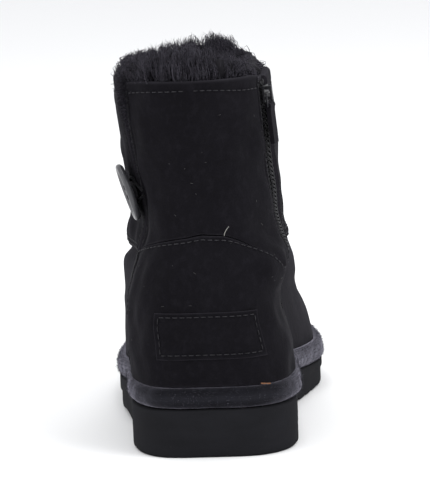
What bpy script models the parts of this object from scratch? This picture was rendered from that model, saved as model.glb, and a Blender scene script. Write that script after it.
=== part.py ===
"""Sheepskin ankle boot for the left foot: suede outside, fleece inside, on a thick moulded sole.

Units are metres, +Z is up, +Y runs from heel to toe and +X is the medial side, where the zip is.
The boot stands on the floor, with the origin under the middle of its outer box.
"""

import math
import random

import bmesh
import bpy
import numpy as np
from mathutils import Matrix, Vector

# Sole
SOLE_LENGTH = 0.266
BALL_WIDTH = 0.101
WAIST_WIDTH = 0.070
HEEL_WIDTH = 0.075
HEEL_THICKNESS = 0.022
FOREFOOT_THICKNESS = 0.013
TOE_SPRING = 0.005
ARCH_RISE = 0.0025
TREAD_PITCH = 0.012
TREAD_DEPTH = 0.0024
TREAD_SLOPE = 0.42
TREAD_LAYER = 0.009
SOLE_STEP = 0.0008
SMOOTH_HEEL = 0.12
SOLE_ROUNDING = 0.0010

# Padded band over the joint of sole and upper
BINDING_HEIGHT = 0.0098
BINDING_THICKNESS = 0.0046

# Upper
UPPER_WALL = 0.0018
BACK_HEIGHT = 0.149
INSTEP_HEIGHT = 0.1035
FRONT_HEIGHT = 0.149
COLLAR_DEPTH = 0.105
COLLAR_WIDTH = 0.0685
SHAFT_LEAN = 0.007
RIM_DIP = 0.002
PANEL_THICKNESS = 0.0012
COUNTER_THICKNESS = 0.0015
COUNTER_HEIGHT = 0.079
SEAM_GAP = 0.0006
PATCH_WIDTH = 0.049
PATCH_HEIGHT = 0.0213
PATCH_ASIDE = 0.0018
PATCH_THICKNESS = 0.0009
PATCH_CENTRE = 0.034
SLIT_WIDTH = 0.004
SLIT_DEPTH = 0.062

# Inside
INSOLE_THICKNESS = 0.005
FLEECE_THICKNESS = 0.010
FLEECE_RISE = 0.0105
FLEECE_DEPTH = 0.024
FLEECE_LOCKS = 22
LOCK_SPREAD = 0.0013
FLEECE_SIDE_DROP = 0.6

# Button and its loop
BUTTON_DIAMETER = 0.0275
BUTTON_THICKNESS = 0.0032
BUTTON_HEIGHT = 0.0978
BUTTON_HOLE = 0.0024
BUTTON_STANDOFF = 0.0026
BUTTON_TILT = math.radians(4)
BUTTON_SWING = math.radians(-6)
THREAD_DIAMETER = 0.0016
LOOP_DIAMETER = 0.0013
LOOP_SLACK = 0.0009

# Zip
ZIP_CHANNEL = 0.012
CHAIN_WIDTH = 0.0058
CHAIN_THICKNESS = 0.0010
SLIDER_WIDTH = 0.008
SLIDER_LENGTH = 0.0075
SLIDER_THICKNESS = 0.0015
BRIDGE_HEIGHT = 0.0026
BRIDGE_WIDTH = 0.0016
BRIDGE_BAR = 0.0009
LINK_WIRE = 0.0010
LINK_LENGTH = 0.0058
TAB_WIDTH = 0.0075
TAB_LENGTH = 0.0175
TAB_THICKNESS = 0.0020
SLIDER_HEIGHT = 0.1395

# Gap where curved pieces meet, and the wider one under the large panels
CLEARANCE = 0.0003
PANEL_CLEARANCE = 0.0007

# Colour, roughness and metallic value of each material
FINISHES = {
    "suede": ((0.013, 0.012, 0.015), 0.95, 0.0),
    "binding": ((0.030, 0.030, 0.038), 0.95, 0.0),
    "fleece": ((0.026, 0.023, 0.030), 1.0, 0.0),
    "rubber": ((0.017, 0.017, 0.018), 0.65, 0.0),
    "button": ((0.025, 0.025, 0.027), 0.35, 0.0),
    "thread": ((0.010, 0.010, 0.011), 0.8, 0.0),
    "metal": ((0.20, 0.20, 0.21), 0.3, 1.0),
}

# Edge of the sole, seen from above, from the heel round the medial side to the toe and back.
OUTLINE = (
    # share of the length, share of the width, width
    (0.000, 0.000, HEEL_WIDTH),
    (0.013, 0.330, HEEL_WIDTH),
    (0.100, 0.500, HEEL_WIDTH),
    (0.300, 0.473, HEEL_WIDTH),
    (0.445, 0.485, WAIST_WIDTH),
    (0.583, 0.408, BALL_WIDTH),
    (0.700, 0.455, BALL_WIDTH),
    (0.830, 0.410, BALL_WIDTH),
    (0.930, 0.290, BALL_WIDTH),
    (0.985, 0.150, BALL_WIDTH),
    (1.000, 0.020, BALL_WIDTH),
    (0.989, -0.150, BALL_WIDTH),
    (0.940, -0.340, BALL_WIDTH),
    (0.842, -0.480, BALL_WIDTH),
    (0.707, -0.532, BALL_WIDTH),
    (0.540, -0.520, BALL_WIDTH),
    (0.414, -0.690, WAIST_WIDTH),
    (0.282, -0.555, HEEL_WIDTH),
    (0.100, -0.500, HEEL_WIDTH),
    (0.013, -0.330, HEEL_WIDTH),
)
TOE_POINT = 10

# Sections of the upper, from the sole up to the collar. Each is a closed ring that leans from its back
# point to its front point. Heights are over the top of the sole, and front heights count 0 to 1 up to
# the instep and 1 to 2 from there to the rim.
SECTIONS = (
    # back in, back up, reach: foot, shaft, front up, width: ball, collar, taper, lean
    (0.0190, 0.000, 0.962, 0.000, 0.000, 0.925, 0.000, 0.00, 0.00),
    (0.0150, 0.067, 0.974, 0.000, 0.097, 0.930, 0.000, 0.02, 0.05),
    (0.0113, 0.141, 0.972, 0.000, 0.213, 0.920, 0.000, 0.05, 0.15),
    (0.0094, 0.208, 0.945, 0.000, 0.319, 0.890, 0.000, 0.09, 0.30),
    (0.0094, 0.268, 0.900, 0.000, 0.406, 0.865, 0.000, 0.15, 0.45),
    (0.0132, 0.322, 0.800, 0.085, 0.483, 0.800, 0.085, 0.22, 0.40),
    (0.0188, 0.376, 0.672, 0.200, 0.565, 0.725, 0.205, 0.28, 0.12),
    (0.0263, 0.430, 0.515, 0.380, 0.662, 0.590, 0.390, 0.34, -0.10),
    (0.0338, 0.483, 0.352, 0.580, 0.773, 0.370, 0.585, 0.36, 0.14),
    (0.0395, 0.544, 0.205, 0.770, 0.889, 0.180, 0.770, 0.30, 0.26),
    (0.0440, 0.611, 0.100, 0.900, 1.000, 0.075, 0.915, 0.18, 0.40),
    (0.0470, 0.691, 0.045, 0.960, 1.223, 0.025, 0.975, 0.08, 0.58),
    (0.0489, 0.792, 0.020, 0.980, 1.466, 0.010, 0.990, 0.03, 0.72),
    (0.0500, 0.893, 0.005, 0.995, 1.728, 0.003, 1.005, 0.00, 0.86),
    (0.0500, 1.000, 0.000, 1.000, 2.000, 0.000, 1.000, 0.00, 1.00),
)
SHAFT_SQUARENESS = 2.3
TAPER_START = 0.35

# Places round the boot, as shares of a turn from the middle of the back, by way of the medial side.
ZIP_PLACE = 0.170
SLIT_PLACE = 0.872
BUTTON_PLACE = SLIT_PLACE - 0.024
DIP_SPREAD = 0.07
TAIL_SPREAD = 0.06

# Hollow where the button and its loop draw the side in: depth, level, reach up and down, reach round
PRESS_DEPTH = 0.0042
PRESS_LEVEL = 0.66
PRESS_RISE = 0.27
PRESS_SPREAD = 0.12

# Lower edge of the front panel, as shares of the rows of sections, at the sides and over the instep.
VAMP_EDGE_SIDE = 0.505
VAMP_EDGE_FRONT = 0.665
COUNTER_OUTER_DROP = 0.088
COUNTER_INNER_DROP = 0.175
COUNTER_POINT = 0.005

# Number of faces
COLUMNS = 48
ROWS = 20
CURVE_SAMPLES = 400

rows = np.array(SECTIONS)
levels = np.linspace(0, 1, len(SECTIONS))


def smooth(x, xs, ys):
    """Values at x on a smooth curve through the points, with no overshoot between them."""
    x = np.clip(np.asarray(x, float), xs[0], xs[-1])
    xs = np.asarray(xs, float)
    ys = np.asarray(ys, float)
    step = np.diff(xs)
    slope = np.diff(ys) / step
    tangent = np.zeros(len(xs))
    for i in range(1, len(xs) - 1):
        if slope[i - 1] * slope[i] > 0:
            a = 2 * step[i] + step[i - 1]
            b = step[i] + 2 * step[i - 1]
            tangent[i] = (a + b) / (a / slope[i - 1] + b / slope[i])
    tangent[0] = slope[0]
    tangent[-1] = slope[-1]
    i = np.clip(np.searchsorted(xs, x) - 1, 0, len(step) - 1)
    t = (x - xs[i]) / step[i]
    start = ys[i] * (1 + 2 * t) * (1 - t) ** 2 + step[i] * tangent[i] * t * (1 - t) ** 2
    end = ys[i + 1] * t * t * (3 - 2 * t) - step[i] * tangent[i + 1] * t * t * (1 - t)
    return start + end


def ease(x):
    """Smooth step from 0 to 1."""
    x = np.clip(x, 0, 1)
    return x * x * (3 - 2 * x)


def bump(u, place, spread):
    """Smooth hump of height 1 at a place round the boot."""
    away = np.abs((np.asarray(u, float) - place + 0.5) % 1 - 0.5)
    return ease(1 - away / spread)


def even_steps(points, toe):
    """Closed line with equal steps along each side, and the point numbered toe in the middle."""
    line = np.concatenate([points, points[:1]])
    length = np.concatenate([[0], np.cumsum(np.linalg.norm(np.diff(line, axis=0), axis=1))])
    half = CURVE_SAMPLES // 2
    medial = np.linspace(0, length[toe], half, endpoint=False)
    lateral = np.linspace(length[toe], length[-1], half + 1)
    at = np.concatenate([medial, lateral])
    return np.stack([np.interp(at, length, line[:, k]) for k in (0, 1)], axis=1)


def outline_curve():
    """Edge of the sole, as a smooth closed line through the outline's points."""
    points = np.array([(across * width, along * SOLE_LENGTH) for along, across, width in OUTLINE])
    count = len(points)
    per_span = 24
    line = []
    for i in range(count):
        p0, p1, p2, p3 = (points[(i + k) % count] for k in (-1, 0, 1, 2))
        before = (p2 - p0) / 2
        after = (p3 - p1) / 2
        for t in np.linspace(0, 1, per_span, endpoint=False):
            line.append(
                p1 * (1 + 2 * t) * (1 - t) ** 2
                + before * t * (1 - t) ** 2
                + p2 * t * t * (3 - 2 * t)
                - after * t * t * (1 - t)
            )
    return even_steps(np.array(line), TOE_POINT * per_span)


def shaft_curve():
    """Oval of the collar, as shares of its width and depth."""
    turn = np.linspace(0, 2 * np.pi, CURVE_SAMPLES, endpoint=False)
    power = 2 / SHAFT_SQUARENESS
    across = 0.5 * np.sign(np.sin(turn)) * np.abs(np.sin(turn)) ** power
    along = 0.5 - 0.5 * np.sign(np.cos(turn)) * np.abs(np.cos(turn)) ** power
    size = np.array([COLLAR_WIDTH, COLLAR_DEPTH])
    return even_steps(np.stack([across, along], axis=1) * size, CURVE_SAMPLES // 2) / size


edge_curve = outline_curve()
oval_curve = shaft_curve()
curve_turns = np.linspace(0, 1, CURVE_SAMPLES + 1)


def sole_edge(u, inset=0.0):
    """Points x, y on the edge of the sole, moved inwards by inset."""
    u = np.asarray(u, float) % 1
    x = np.interp(u, curve_turns, edge_curve[:, 0])
    y = np.interp(u, curve_turns, edge_curve[:, 1])
    reach = 0.012
    ahead = [np.interp((u + reach) % 1, curve_turns, edge_curve[:, k]) for k in (0, 1)]
    behind = [np.interp((u - reach) % 1, curve_turns, edge_curve[:, k]) for k in (0, 1)]
    dx = ahead[0] - behind[0]
    dy = ahead[1] - behind[1]
    size = np.hypot(dx, dy)
    return x - inset * dy / size, y + inset * dx / size


def ground(y):
    """Height of the underside: flat under heel and ball, raised in the arch and at the toe."""
    share = np.asarray(y, float) / SOLE_LENGTH
    arch = ARCH_RISE * ease(1 - np.abs(share - 0.40) / 0.11)
    toe = TOE_SPRING * np.clip((share - 0.80) / 0.20, 0, None) ** 2
    return arch + toe


def sole_top(y):
    """Height of the top of the sole."""
    levels_here = (HEEL_THICKNESS, HEEL_THICKNESS, FOREFOOT_THICKNESS, FOREFOOT_THICKNESS + TOE_SPRING)
    shares = (0.0, 0.19, 0.70, 1.0)
    return smooth(np.asarray(y, float) / SOLE_LENGTH, shares, levels_here)


def row_value(v, column):
    """One column of the table of sections, at a level from 0 at the sole to 1 at the rim."""
    return smooth(v, levels, rows[:, column])


def base_point(u, v):
    """Points on the outside of the upper, for turns u and levels v."""
    u, v = np.broadcast_arrays(np.asarray(u, float), np.asarray(v, float))
    back = row_value(v, 0) * SOLE_LENGTH
    back_up = row_value(v, 1) * BACK_HEIGHT
    shaft = row_value(v, 3)
    reach = row_value(v, 2) * SOLE_LENGTH + shaft * COLLAR_DEPTH
    front = row_value(v, 4)
    front_up = np.minimum(front, 1) * INSTEP_HEIGHT
    front_up = front_up + np.maximum(front - 1, 0) * (FRONT_HEIGHT - INSTEP_HEIGHT)
    width = row_value(v, 5) * BALL_WIDTH + row_value(v, 6) * COLLAR_WIDTH

    x, y = sole_edge(u)
    foot_across = x / BALL_WIDTH
    foot_along = y / SOLE_LENGTH
    shaft_across = np.interp(u % 1, curve_turns, oval_curve[:, 0])
    shaft_along = np.interp(u % 1, curve_turns, oval_curve[:, 1])
    across = foot_across * (1 - shaft) + shaft_across * shaft
    along = foot_along * (1 - shaft) + shaft_along * shaft

    narrow = 1 - row_value(v, 7) * ease((along - TAPER_START) / (1 - TAPER_START))
    x = across * width * narrow - SHAFT_LEAN * row_value(v, 8)
    pressed = bump(u, BUTTON_PLACE + 0.01, PRESS_SPREAD) * ease(1 - np.abs(v - PRESS_LEVEL) / PRESS_RISE)
    x = x + PRESS_DEPTH * pressed
    y = back + along * reach
    z = sole_top(y) + CLEARANCE + back_up * (1 - along) + front_up * along
    dip = RIM_DIP * bump(u, ZIP_PLACE + 0.02, DIP_SPREAD) + 0.4 * RIM_DIP * bump(u, SLIT_PLACE, DIP_SPREAD)
    z = z - dip * ease((v - 0.80) / 0.20)
    return np.stack([x, y, z], axis=-1)


def surface(u, v, out=0.0):
    """Points at a distance out from the outside of the upper, along its normal."""
    u, v, out = np.broadcast_arrays(np.asarray(u, float), np.asarray(v, float), np.asarray(out, float))
    step = 0.004
    along_u = base_point(u + step, v) - base_point(u - step, v)
    along_v = base_point(u, np.minimum(v + step, 1)) - base_point(u, np.maximum(v - step, 0))
    normal = np.cross(along_u, along_v)
    normal = normal / np.linalg.norm(normal, axis=-1, keepdims=True)
    return base_point(u, v) + normal * out[..., None]


def girth(v):
    """Length once round the upper at a level."""
    ring = base_point(np.linspace(0, 1, 201), v)
    return float(np.linalg.norm(np.diff(ring, axis=0), axis=1).sum())


def level_at(height, u=0.0):
    """Level at which the outside of the upper is at a height over the sole's top at the heel."""
    tries = np.linspace(0, 1, 400)
    return float(np.interp(height + HEEL_THICKNESS, base_point(u, tries)[:, 2], tries))


def frame_at(u, v, out):
    """Matrix at a place on the upper: x runs round the boot, y up its side and z outwards."""
    centre = surface(u, v, out)
    up = surface(u, v + 0.01, out) - surface(u, v - 0.01, out)
    around = surface(u + 0.004, v, out) - surface(u - 0.004, v, out)
    up = Vector(up).normalized()
    outwards = Vector(around).cross(up).normalized()
    across = up.cross(outwards)
    matrix = Matrix((across, up, outwards)).transposed().to_4x4()
    matrix.translation = Vector(centre)
    return matrix


def step_from(u, v, across, up, out=0.0):
    """Turn and level at lengths across and up from a place, measured flat against the upper there."""
    seat = frame_at(u, v, out).inverted()
    nudge = 0.01
    for _ in range(4):
        here = seat @ Vector(surface(u, v, out))
        per_turn = ((seat @ Vector(surface(u + nudge, v, out))).x - here.x) / nudge
        per_level = ((seat @ Vector(surface(u, v + nudge, out))).y - here.y) / nudge
        u += (across - here.x) / per_turn
        v += (up - here.y) / per_level
    return u, v


# Edges of the panels, which the faces of the upper follow too
slit_half = SLIT_WIDTH / girth(1.0) / 2
zip_half = ZIP_CHANNEL / girth(1.0) / 2
slit_turns = (SLIT_PLACE - slit_half, SLIT_PLACE + slit_half)
zip_turns = (ZIP_PLACE - zip_half, ZIP_PLACE + zip_half)
counter_turns = (SLIT_PLACE + slit_half - 1, ZIP_PLACE - zip_half)
counter_top = level_at(COUNTER_HEIGHT)
slit_bottom = level_at(BACK_HEIGHT - SLIT_DEPTH)
binding_top = level_at(BINDING_HEIGHT)
button_level = level_at(BUTTON_HEIGHT, BUTTON_PLACE)


def turns():
    """Turns of the upright lines of faces: evenly spaced, apart from those on the panels' edges."""
    marks = [*slit_turns, *zip_turns]
    even = [i / COLUMNS for i in range(COLUMNS)]
    kept = [u for u in even if all(abs(u - mark) > 0.35 / COLUMNS for mark in marks)]
    return np.array(sorted(kept + marks))


def turns_between(first, last):
    """The same upright lines from one turn to another, which may pass the middle of the back."""
    lines = np.concatenate([turns() - 1, turns()])
    inside = [u for u in lines if first + 1e-6 < u < last - 1e-6]
    return np.array([first, *inside, last])


def new_collection(name):
    collection = bpy.data.collections.new(name)
    bpy.context.scene.collection.children.link(collection)
    return collection


for old in list(bpy.data.objects):
    bpy.data.objects.remove(old, do_unlink=True)
boot = new_collection("sheepskin_ankle_boot")
cutters = new_collection("cutters")
materials = {}
for finish, (colour, roughness, metallic) in FINISHES.items():
    material = bpy.data.materials.new(finish)
    material.use_nodes = True
    shader = material.node_tree.nodes["Principled BSDF"]
    shader.inputs["Base Color"].default_value = (*colour, 1)
    shader.inputs["Roughness"].default_value = roughness
    shader.inputs["Metallic"].default_value = metallic
    materials[finish] = material


def add_object(name, mesh, finish, collection=boot):
    """Object for one sub-part, shaded smooth between its sharp edges."""
    thing = bpy.data.objects.new(name, mesh)
    collection.objects.link(thing)
    mesh.materials.clear()
    mesh.materials.append(materials[finish])
    mesh.shade_smooth()
    mesh.set_sharp_from_angle(angle=math.radians(40))
    return thing


def mesh_from(name, points, faces):
    mesh = bpy.data.meshes.new(name)
    mesh.from_pydata([tuple(map(float, p)) for p in points], [], faces)
    mesh.update()
    return mesh


def grid_faces(row_count, column_count, closed, skip=lambda i, j: False):
    """Quads of a grid whose columns go round the boot and whose rows go up."""
    faces = []
    for i in range(row_count - 1):
        for j in range(column_count if closed else column_count - 1):
            if not skip(i, j):
                k = (j + 1) % column_count
                low = i * column_count
                high = low + column_count
                faces.append((low + j, low + k, high + k, high + j))
    return faces


def thicken(thing, thickness, offset):
    """Solidify: offset -1 grows the wall inwards and +1 outwards."""
    solidify = thing.modifiers.new("Wall", "SOLIDIFY")
    solidify.thickness = thickness
    solidify.offset = offset


def cap_faces(first, count, flip):
    """Strips across a ring of points whose two sides have like numbers."""
    half = count // 2
    faces = []
    for j in range(half):
        left = first + (count - j) % count
        left_next = first + (count - j - 1) % count
        quad = [first + j, first + j + 1, left_next, left]
        corners = [p for i, p in enumerate(quad) if p not in quad[:i]]
        faces.append(tuple(reversed(corners)) if flip else tuple(corners))
    return faces


def ring_solid(name, rings, finish):
    """Closed solid through rings of points from the bottom to the top."""
    count = len(rings[0])
    points = np.concatenate(rings)
    faces = grid_faces(len(rings), count, True)
    faces += cap_faces(0, count, True)
    faces += cap_faces((len(rings) - 1) * count, count, False)
    return add_object(name, mesh_from(name, points, faces), finish)


def apply_boolean(thing, cutter, operation):
    boolean = thing.modifiers.new(cutter.name, "BOOLEAN")
    boolean.operation = operation
    boolean.object = cutter
    boolean.solver = "EXACT"
    cutter.hide_render = True
    cutter.display_type = "WIRE"


def box_mesh(name, low, high):
    """Box between two corners, started from a cube."""
    shape = bmesh.new()
    bmesh.ops.create_cube(shape, size=1.0)
    for vert in shape.verts:
        vert.co = Vector([low[k] + (vert.co[k] + 0.5) * (high[k] - low[k]) for k in range(3)])
    mesh = bpy.data.meshes.new(name)
    shape.to_mesh(mesh)
    shape.free()
    return mesh


def cylinder_mesh(name, radius, bottom, top, sides, centre=(0, 0)):
    shape = bmesh.new()
    move = Matrix.Translation((centre[0], centre[1], (bottom + top) / 2))
    bmesh.ops.create_cone(
        shape, cap_ends=True, segments=sides, radius1=radius, radius2=radius, depth=top - bottom, matrix=move
    )
    mesh = bpy.data.meshes.new(name)
    shape.to_mesh(mesh)
    shape.free()
    return mesh


def tube_mesh(name, points, diameter, cyclic=False):
    """Round tube along points, as a closed mesh."""
    curve = bpy.data.curves.new(name, "CURVE")
    curve.dimensions = "3D"
    curve.bevel_depth = diameter / 2
    curve.bevel_resolution = 1
    curve.use_fill_caps = True
    spline = curve.splines.new("POLY")
    spline.points.add(len(points) - 1)
    spline.use_cyclic_u = cyclic
    for place, point in zip(spline.points, points):
        place.co = (*point, 1)
    thing = bpy.data.objects.new(name, curve)
    boot.objects.link(thing)
    bpy.context.view_layer.update()
    mesh = bpy.data.meshes.new_from_object(thing.evaluated_get(bpy.context.evaluated_depsgraph_get()))
    bpy.data.objects.remove(thing, do_unlink=True)
    shape = bmesh.new()
    shape.from_mesh(mesh)
    bmesh.ops.remove_doubles(shape, verts=shape.verts, dist=1e-6)
    bmesh.ops.recalc_face_normals(shape, faces=shape.faces)
    shape.to_mesh(mesh)
    shape.free()
    return mesh


def make_outsole():
    """Wedge sole: rounded tread layer, a small step that fades out at the heel, then the smooth side."""
    u = np.arange(COLUMNS) / COLUMNS
    step = SOLE_STEP * ease((sole_edge(u)[1] / SOLE_LENGTH - SMOOTH_HEEL) / SMOOTH_HEEL)
    sides = (
        # height over the ground, inset
        (0.0, step + SOLE_ROUNDING),
        (SOLE_ROUNDING * 1.2, step + SOLE_ROUNDING * 0.2),
        (SOLE_ROUNDING * 3.5, step),
        (TREAD_LAYER - CLEARANCE, step),
        (TREAD_LAYER + CLEARANCE, 0.0),
    )
    rings = []
    for height, inset in sides:
        x, y = sole_edge(u, inset)
        rings.append(np.stack([x, y, ground(y) + height], axis=1))
    for drop, inset in ((SOLE_ROUNDING, 0.0), (0.0, SOLE_ROUNDING * 0.8)):
        x, y = sole_edge(u, inset)
        rings.append(np.stack([x, y, sole_top(y) - drop], axis=1))
    sole = ring_solid("outsole", rings, "rubber")

    # Saw-tooth grooves across the tread, apart from the back of the heel and the raised arch
    count = int(SOLE_LENGTH / TREAD_PITCH)
    teeth = bmesh.new()
    for i in range(count):
        start = (i + 1) * TREAD_PITCH
        middle = (start + TREAD_PITCH / 4) / SOLE_LENGTH
        if middle < 0.09 or 0.30 < middle < 0.50 or middle > 0.96:
            continue
        floor = float(ground(start + TREAD_PITCH / 4))
        end = start + TREAD_PITCH * TREAD_SLOPE
        profile = ((start, -TREAD_LAYER / 2), (start, TREAD_DEPTH), (end, -TREAD_LAYER / 2))
        corners = [[teeth.verts.new((side, y, floor + z)) for y, z in profile] for side in (-BALL_WIDTH, BALL_WIDTH)]
        teeth.faces.new(corners[0][::-1])
        teeth.faces.new(corners[1])
        for a, b in ((0, 1), (1, 2), (2, 0)):
            teeth.faces.new((corners[0][a], corners[0][b], corners[1][b], corners[1][a]))
    bmesh.ops.recalc_face_normals(teeth, faces=teeth.faces)
    groove_mesh = bpy.data.meshes.new("tread_grooves")
    teeth.to_mesh(groove_mesh)
    teeth.free()
    grooves = add_object("tread_grooves", groove_mesh, "rubber", cutters)
    apply_boolean(sole, grooves, "DIFFERENCE")


def make_binding():
    """Padded band, round on its outer side, that stands on the edge of the sole."""
    profile = (
        # share of the height, share of the thickness
        (0.00, 0.00),
        (0.00, 0.62),
        (0.22, 0.93),
        (0.50, 1.00),
        (0.78, 0.88),
        (1.00, 0.52),
        (0.97, 0.12),
        (0.60, 0.00),
    )
    u = turns()
    rings = []
    for height, out in profile:
        ring = surface(u, height * binding_top, CLEARANCE + out * BINDING_THICKNESS)
        ring[:, 2] = sole_top(ring[:, 1]) + CLEARANCE + height * BINDING_HEIGHT
        rings.append(ring)
    count = len(u)
    points = np.concatenate(rings)
    faces = []
    for i in range(len(profile)):
        below = i * count
        above = ((i + 1) % len(profile)) * count
        for j in range(count):
            k = (j + 1) % count
            faces.append((below + j, below + k, above + k, above + j))
    add_object("sole_binding", mesh_from("sole_binding", points, faces), "binding")


def make_upper():
    """Hollow shell of the vamp and the shaft, with the slit left open from the collar down."""
    u = turns()
    v = np.unique(np.concatenate([np.linspace(0, 1, ROWS + 1), [slit_bottom]]))
    points = surface(u[None, :], v[:, None]).reshape(-1, 3)
    slit_column = int(np.argmin(np.abs(u - slit_turns[0])))

    def in_slit(i, j):
        return j == slit_column and v[i] > slit_bottom - 1e-6

    faces = grid_faces(len(v), len(u), True, in_slit)
    upper = add_object("upper", mesh_from("upper", points, faces), "suede")
    thicken(upper, UPPER_WALL, -1)


def overlay(name, u, low, high, steps, out, thickness, finish="suede"):
    """Panel on the upper, between two levels given for each turn."""
    share = np.linspace(0, 1, steps + 1)[:, None]
    v = low[None, :] * (1 - share) + high[None, :] * share
    points = surface(u[None, :], v, out).reshape(-1, 3)
    panel = add_object(name, mesh_from(name, points, grid_faces(steps + 1, len(u), False)), finish)
    thicken(panel, thickness, 1)


def counter_edge(u):
    """Level of the counter's top edge: a small point at the back, then down to each side."""
    outer = COUNTER_OUTER_DROP * np.clip(u / counter_turns[0], 0, 1) ** 1.6
    inner = COUNTER_INNER_DROP * ease((u - 0.02) / 0.10)
    point = COUNTER_POINT * np.clip(np.abs(u) / 0.02, 0, 1)
    return counter_top - outer - inner - point


def make_panels():
    seam = SEAM_GAP / BACK_HEIGHT
    u = turns_between(*counter_turns)
    start = np.full(len(u), level_at(BINDING_HEIGHT + CLEARANCE * 2))
    overlay("heel_counter", u, start, counter_edge(u), 9, PANEL_CLEARANCE, COUNTER_THICKNESS)
    rim = np.full(len(u), 1.0)
    overlay("back_panel", u, counter_edge(u) + seam, rim, 11, PANEL_CLEARANCE, PANEL_THICKNESS)
    u = turns_between(zip_turns[1], slit_turns[0])
    over_instep = ease(1 - np.abs(u - 0.5) / 0.22)
    low = VAMP_EDGE_SIDE + (VAMP_EDGE_FRONT - VAMP_EDGE_SIDE) * over_instep
    overlay("front_panel", u, low, np.full(len(u), 1.0), 8, PANEL_CLEARANCE, PANEL_THICKNESS)


def make_patch():
    """Stitched rectangle on the back of the counter."""
    middle = level_at(PATCH_CENTRE)
    lift = PANEL_CLEARANCE + COUNTER_THICKNESS + CLEARANCE
    inner, _ = step_from(0.0, middle, PATCH_WIDTH / 2 + PATCH_ASIDE, 0, lift + PATCH_THICKNESS)
    outer, _ = step_from(0.0, middle, PATCH_ASIDE - PATCH_WIDTH / 2, 0, lift + PATCH_THICKNESS)
    u = turns_between(outer, inner)
    _, high = step_from(0.0, middle, 0, PATCH_HEIGHT / 2)
    _, low = step_from(0.0, middle, 0, -PATCH_HEIGHT / 2)
    overlay("heel_patch", u, np.full(len(u), low), np.full(len(u), high), 3, lift, PATCH_THICKNESS)


def make_insole():
    """Footbed on the top of the sole, inside the wall of the upper."""
    u = np.arange(COLUMNS) / COLUMNS
    inside = -(UPPER_WALL + CLEARANCE * 3)
    rings = [surface(u, level_at(height), inside) for height in (0.0003, INSOLE_THICKNESS - 0.001)]
    rings.append(surface(u, level_at(INSOLE_THICKNESS), inside - 0.0012))
    ring_solid("insole", rings, "fleece")


def make_fleece():
    """Collar of deep fleece with locks, which reaches down inside and further behind the slit."""
    columns = FLEECE_LOCKS * 3
    draw = random.Random(7)
    height = [draw.uniform(0.75, 1.2) for _ in range(FLEECE_LOCKS)]
    lean = [draw.uniform(-1, 1) for _ in range(FLEECE_LOCKS)]
    outside = -(UPPER_WALL + CLEARANCE * 5)
    inner = outside - FLEECE_THICKNESS
    profile = (
        # share of the depth below the rim, share of the rise over it, distance out, share of the lock
        (1.0, 0.0, outside, 0.0),
        (0.78, 0.0, outside, 0.0),
        (0.56, 0.0, outside, 0.0),
        (0.30, 0.0, outside, 0.0),
        (0.0, 0.06, outside, 0.0),
        (0.0, 0.30, 0.0012, 0.4),
        (0.0, 0.72, 0.0002, 0.9),
        (0.0, 1.00, -0.0045, 1.0),
        (0.0, 0.70, -0.0095, 0.9),
        (0.0, 0.10, inner, 0.6),
        (0.33, 0.0, inner, 0.5),
        (0.66, 0.0, inner, 0.5),
        (1.0, 0.0, inner + 0.004, 0.3),
    )
    u = np.arange(columns) / columns
    tail = (SLIT_DEPTH - FLEECE_DEPTH) * bump(u, SLIT_PLACE, TAIL_SPREAD)
    bottom = 1 - (FLEECE_DEPTH + tail) / BACK_HEIGHT
    which = np.arange(columns) // 3
    peak = np.where(np.arange(columns) % 3 == 1, 1.0, -0.55)
    tall = np.array(height)[which] * (1 - FLEECE_SIDE_DROP * np.abs(np.sin(2 * np.pi * u)))
    sway = np.array(lean)[which]
    rings = []
    for depth, rise, out, lock in profile:
        v = 1 - (1 - bottom) * depth
        spread = LOCK_SPREAD * lock * peak * tall * (1 if out > outside else -1)
        side = 0.004 * lock * sway * rise * (peak > 0)
        ring = surface((u + side) % 1, v, out + spread * (lock > 0))
        ring[:, 2] += FLEECE_RISE * rise * tall + LOCK_SPREAD * 0.9 * lock * peak * (rise > 0)
        rings.append(ring)
    points = np.concatenate(rings)
    faces = []
    for i in range(len(profile)):
        above = ((i + 1) % len(profile)) * columns
        for j in range(columns):
            k = (j + 1) % columns
            faces.append((i * columns + j, i * columns + k, above + k, above + j))
    add_object("collar_fleece", mesh_from("collar_fleece", points, faces), "fleece")


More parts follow.
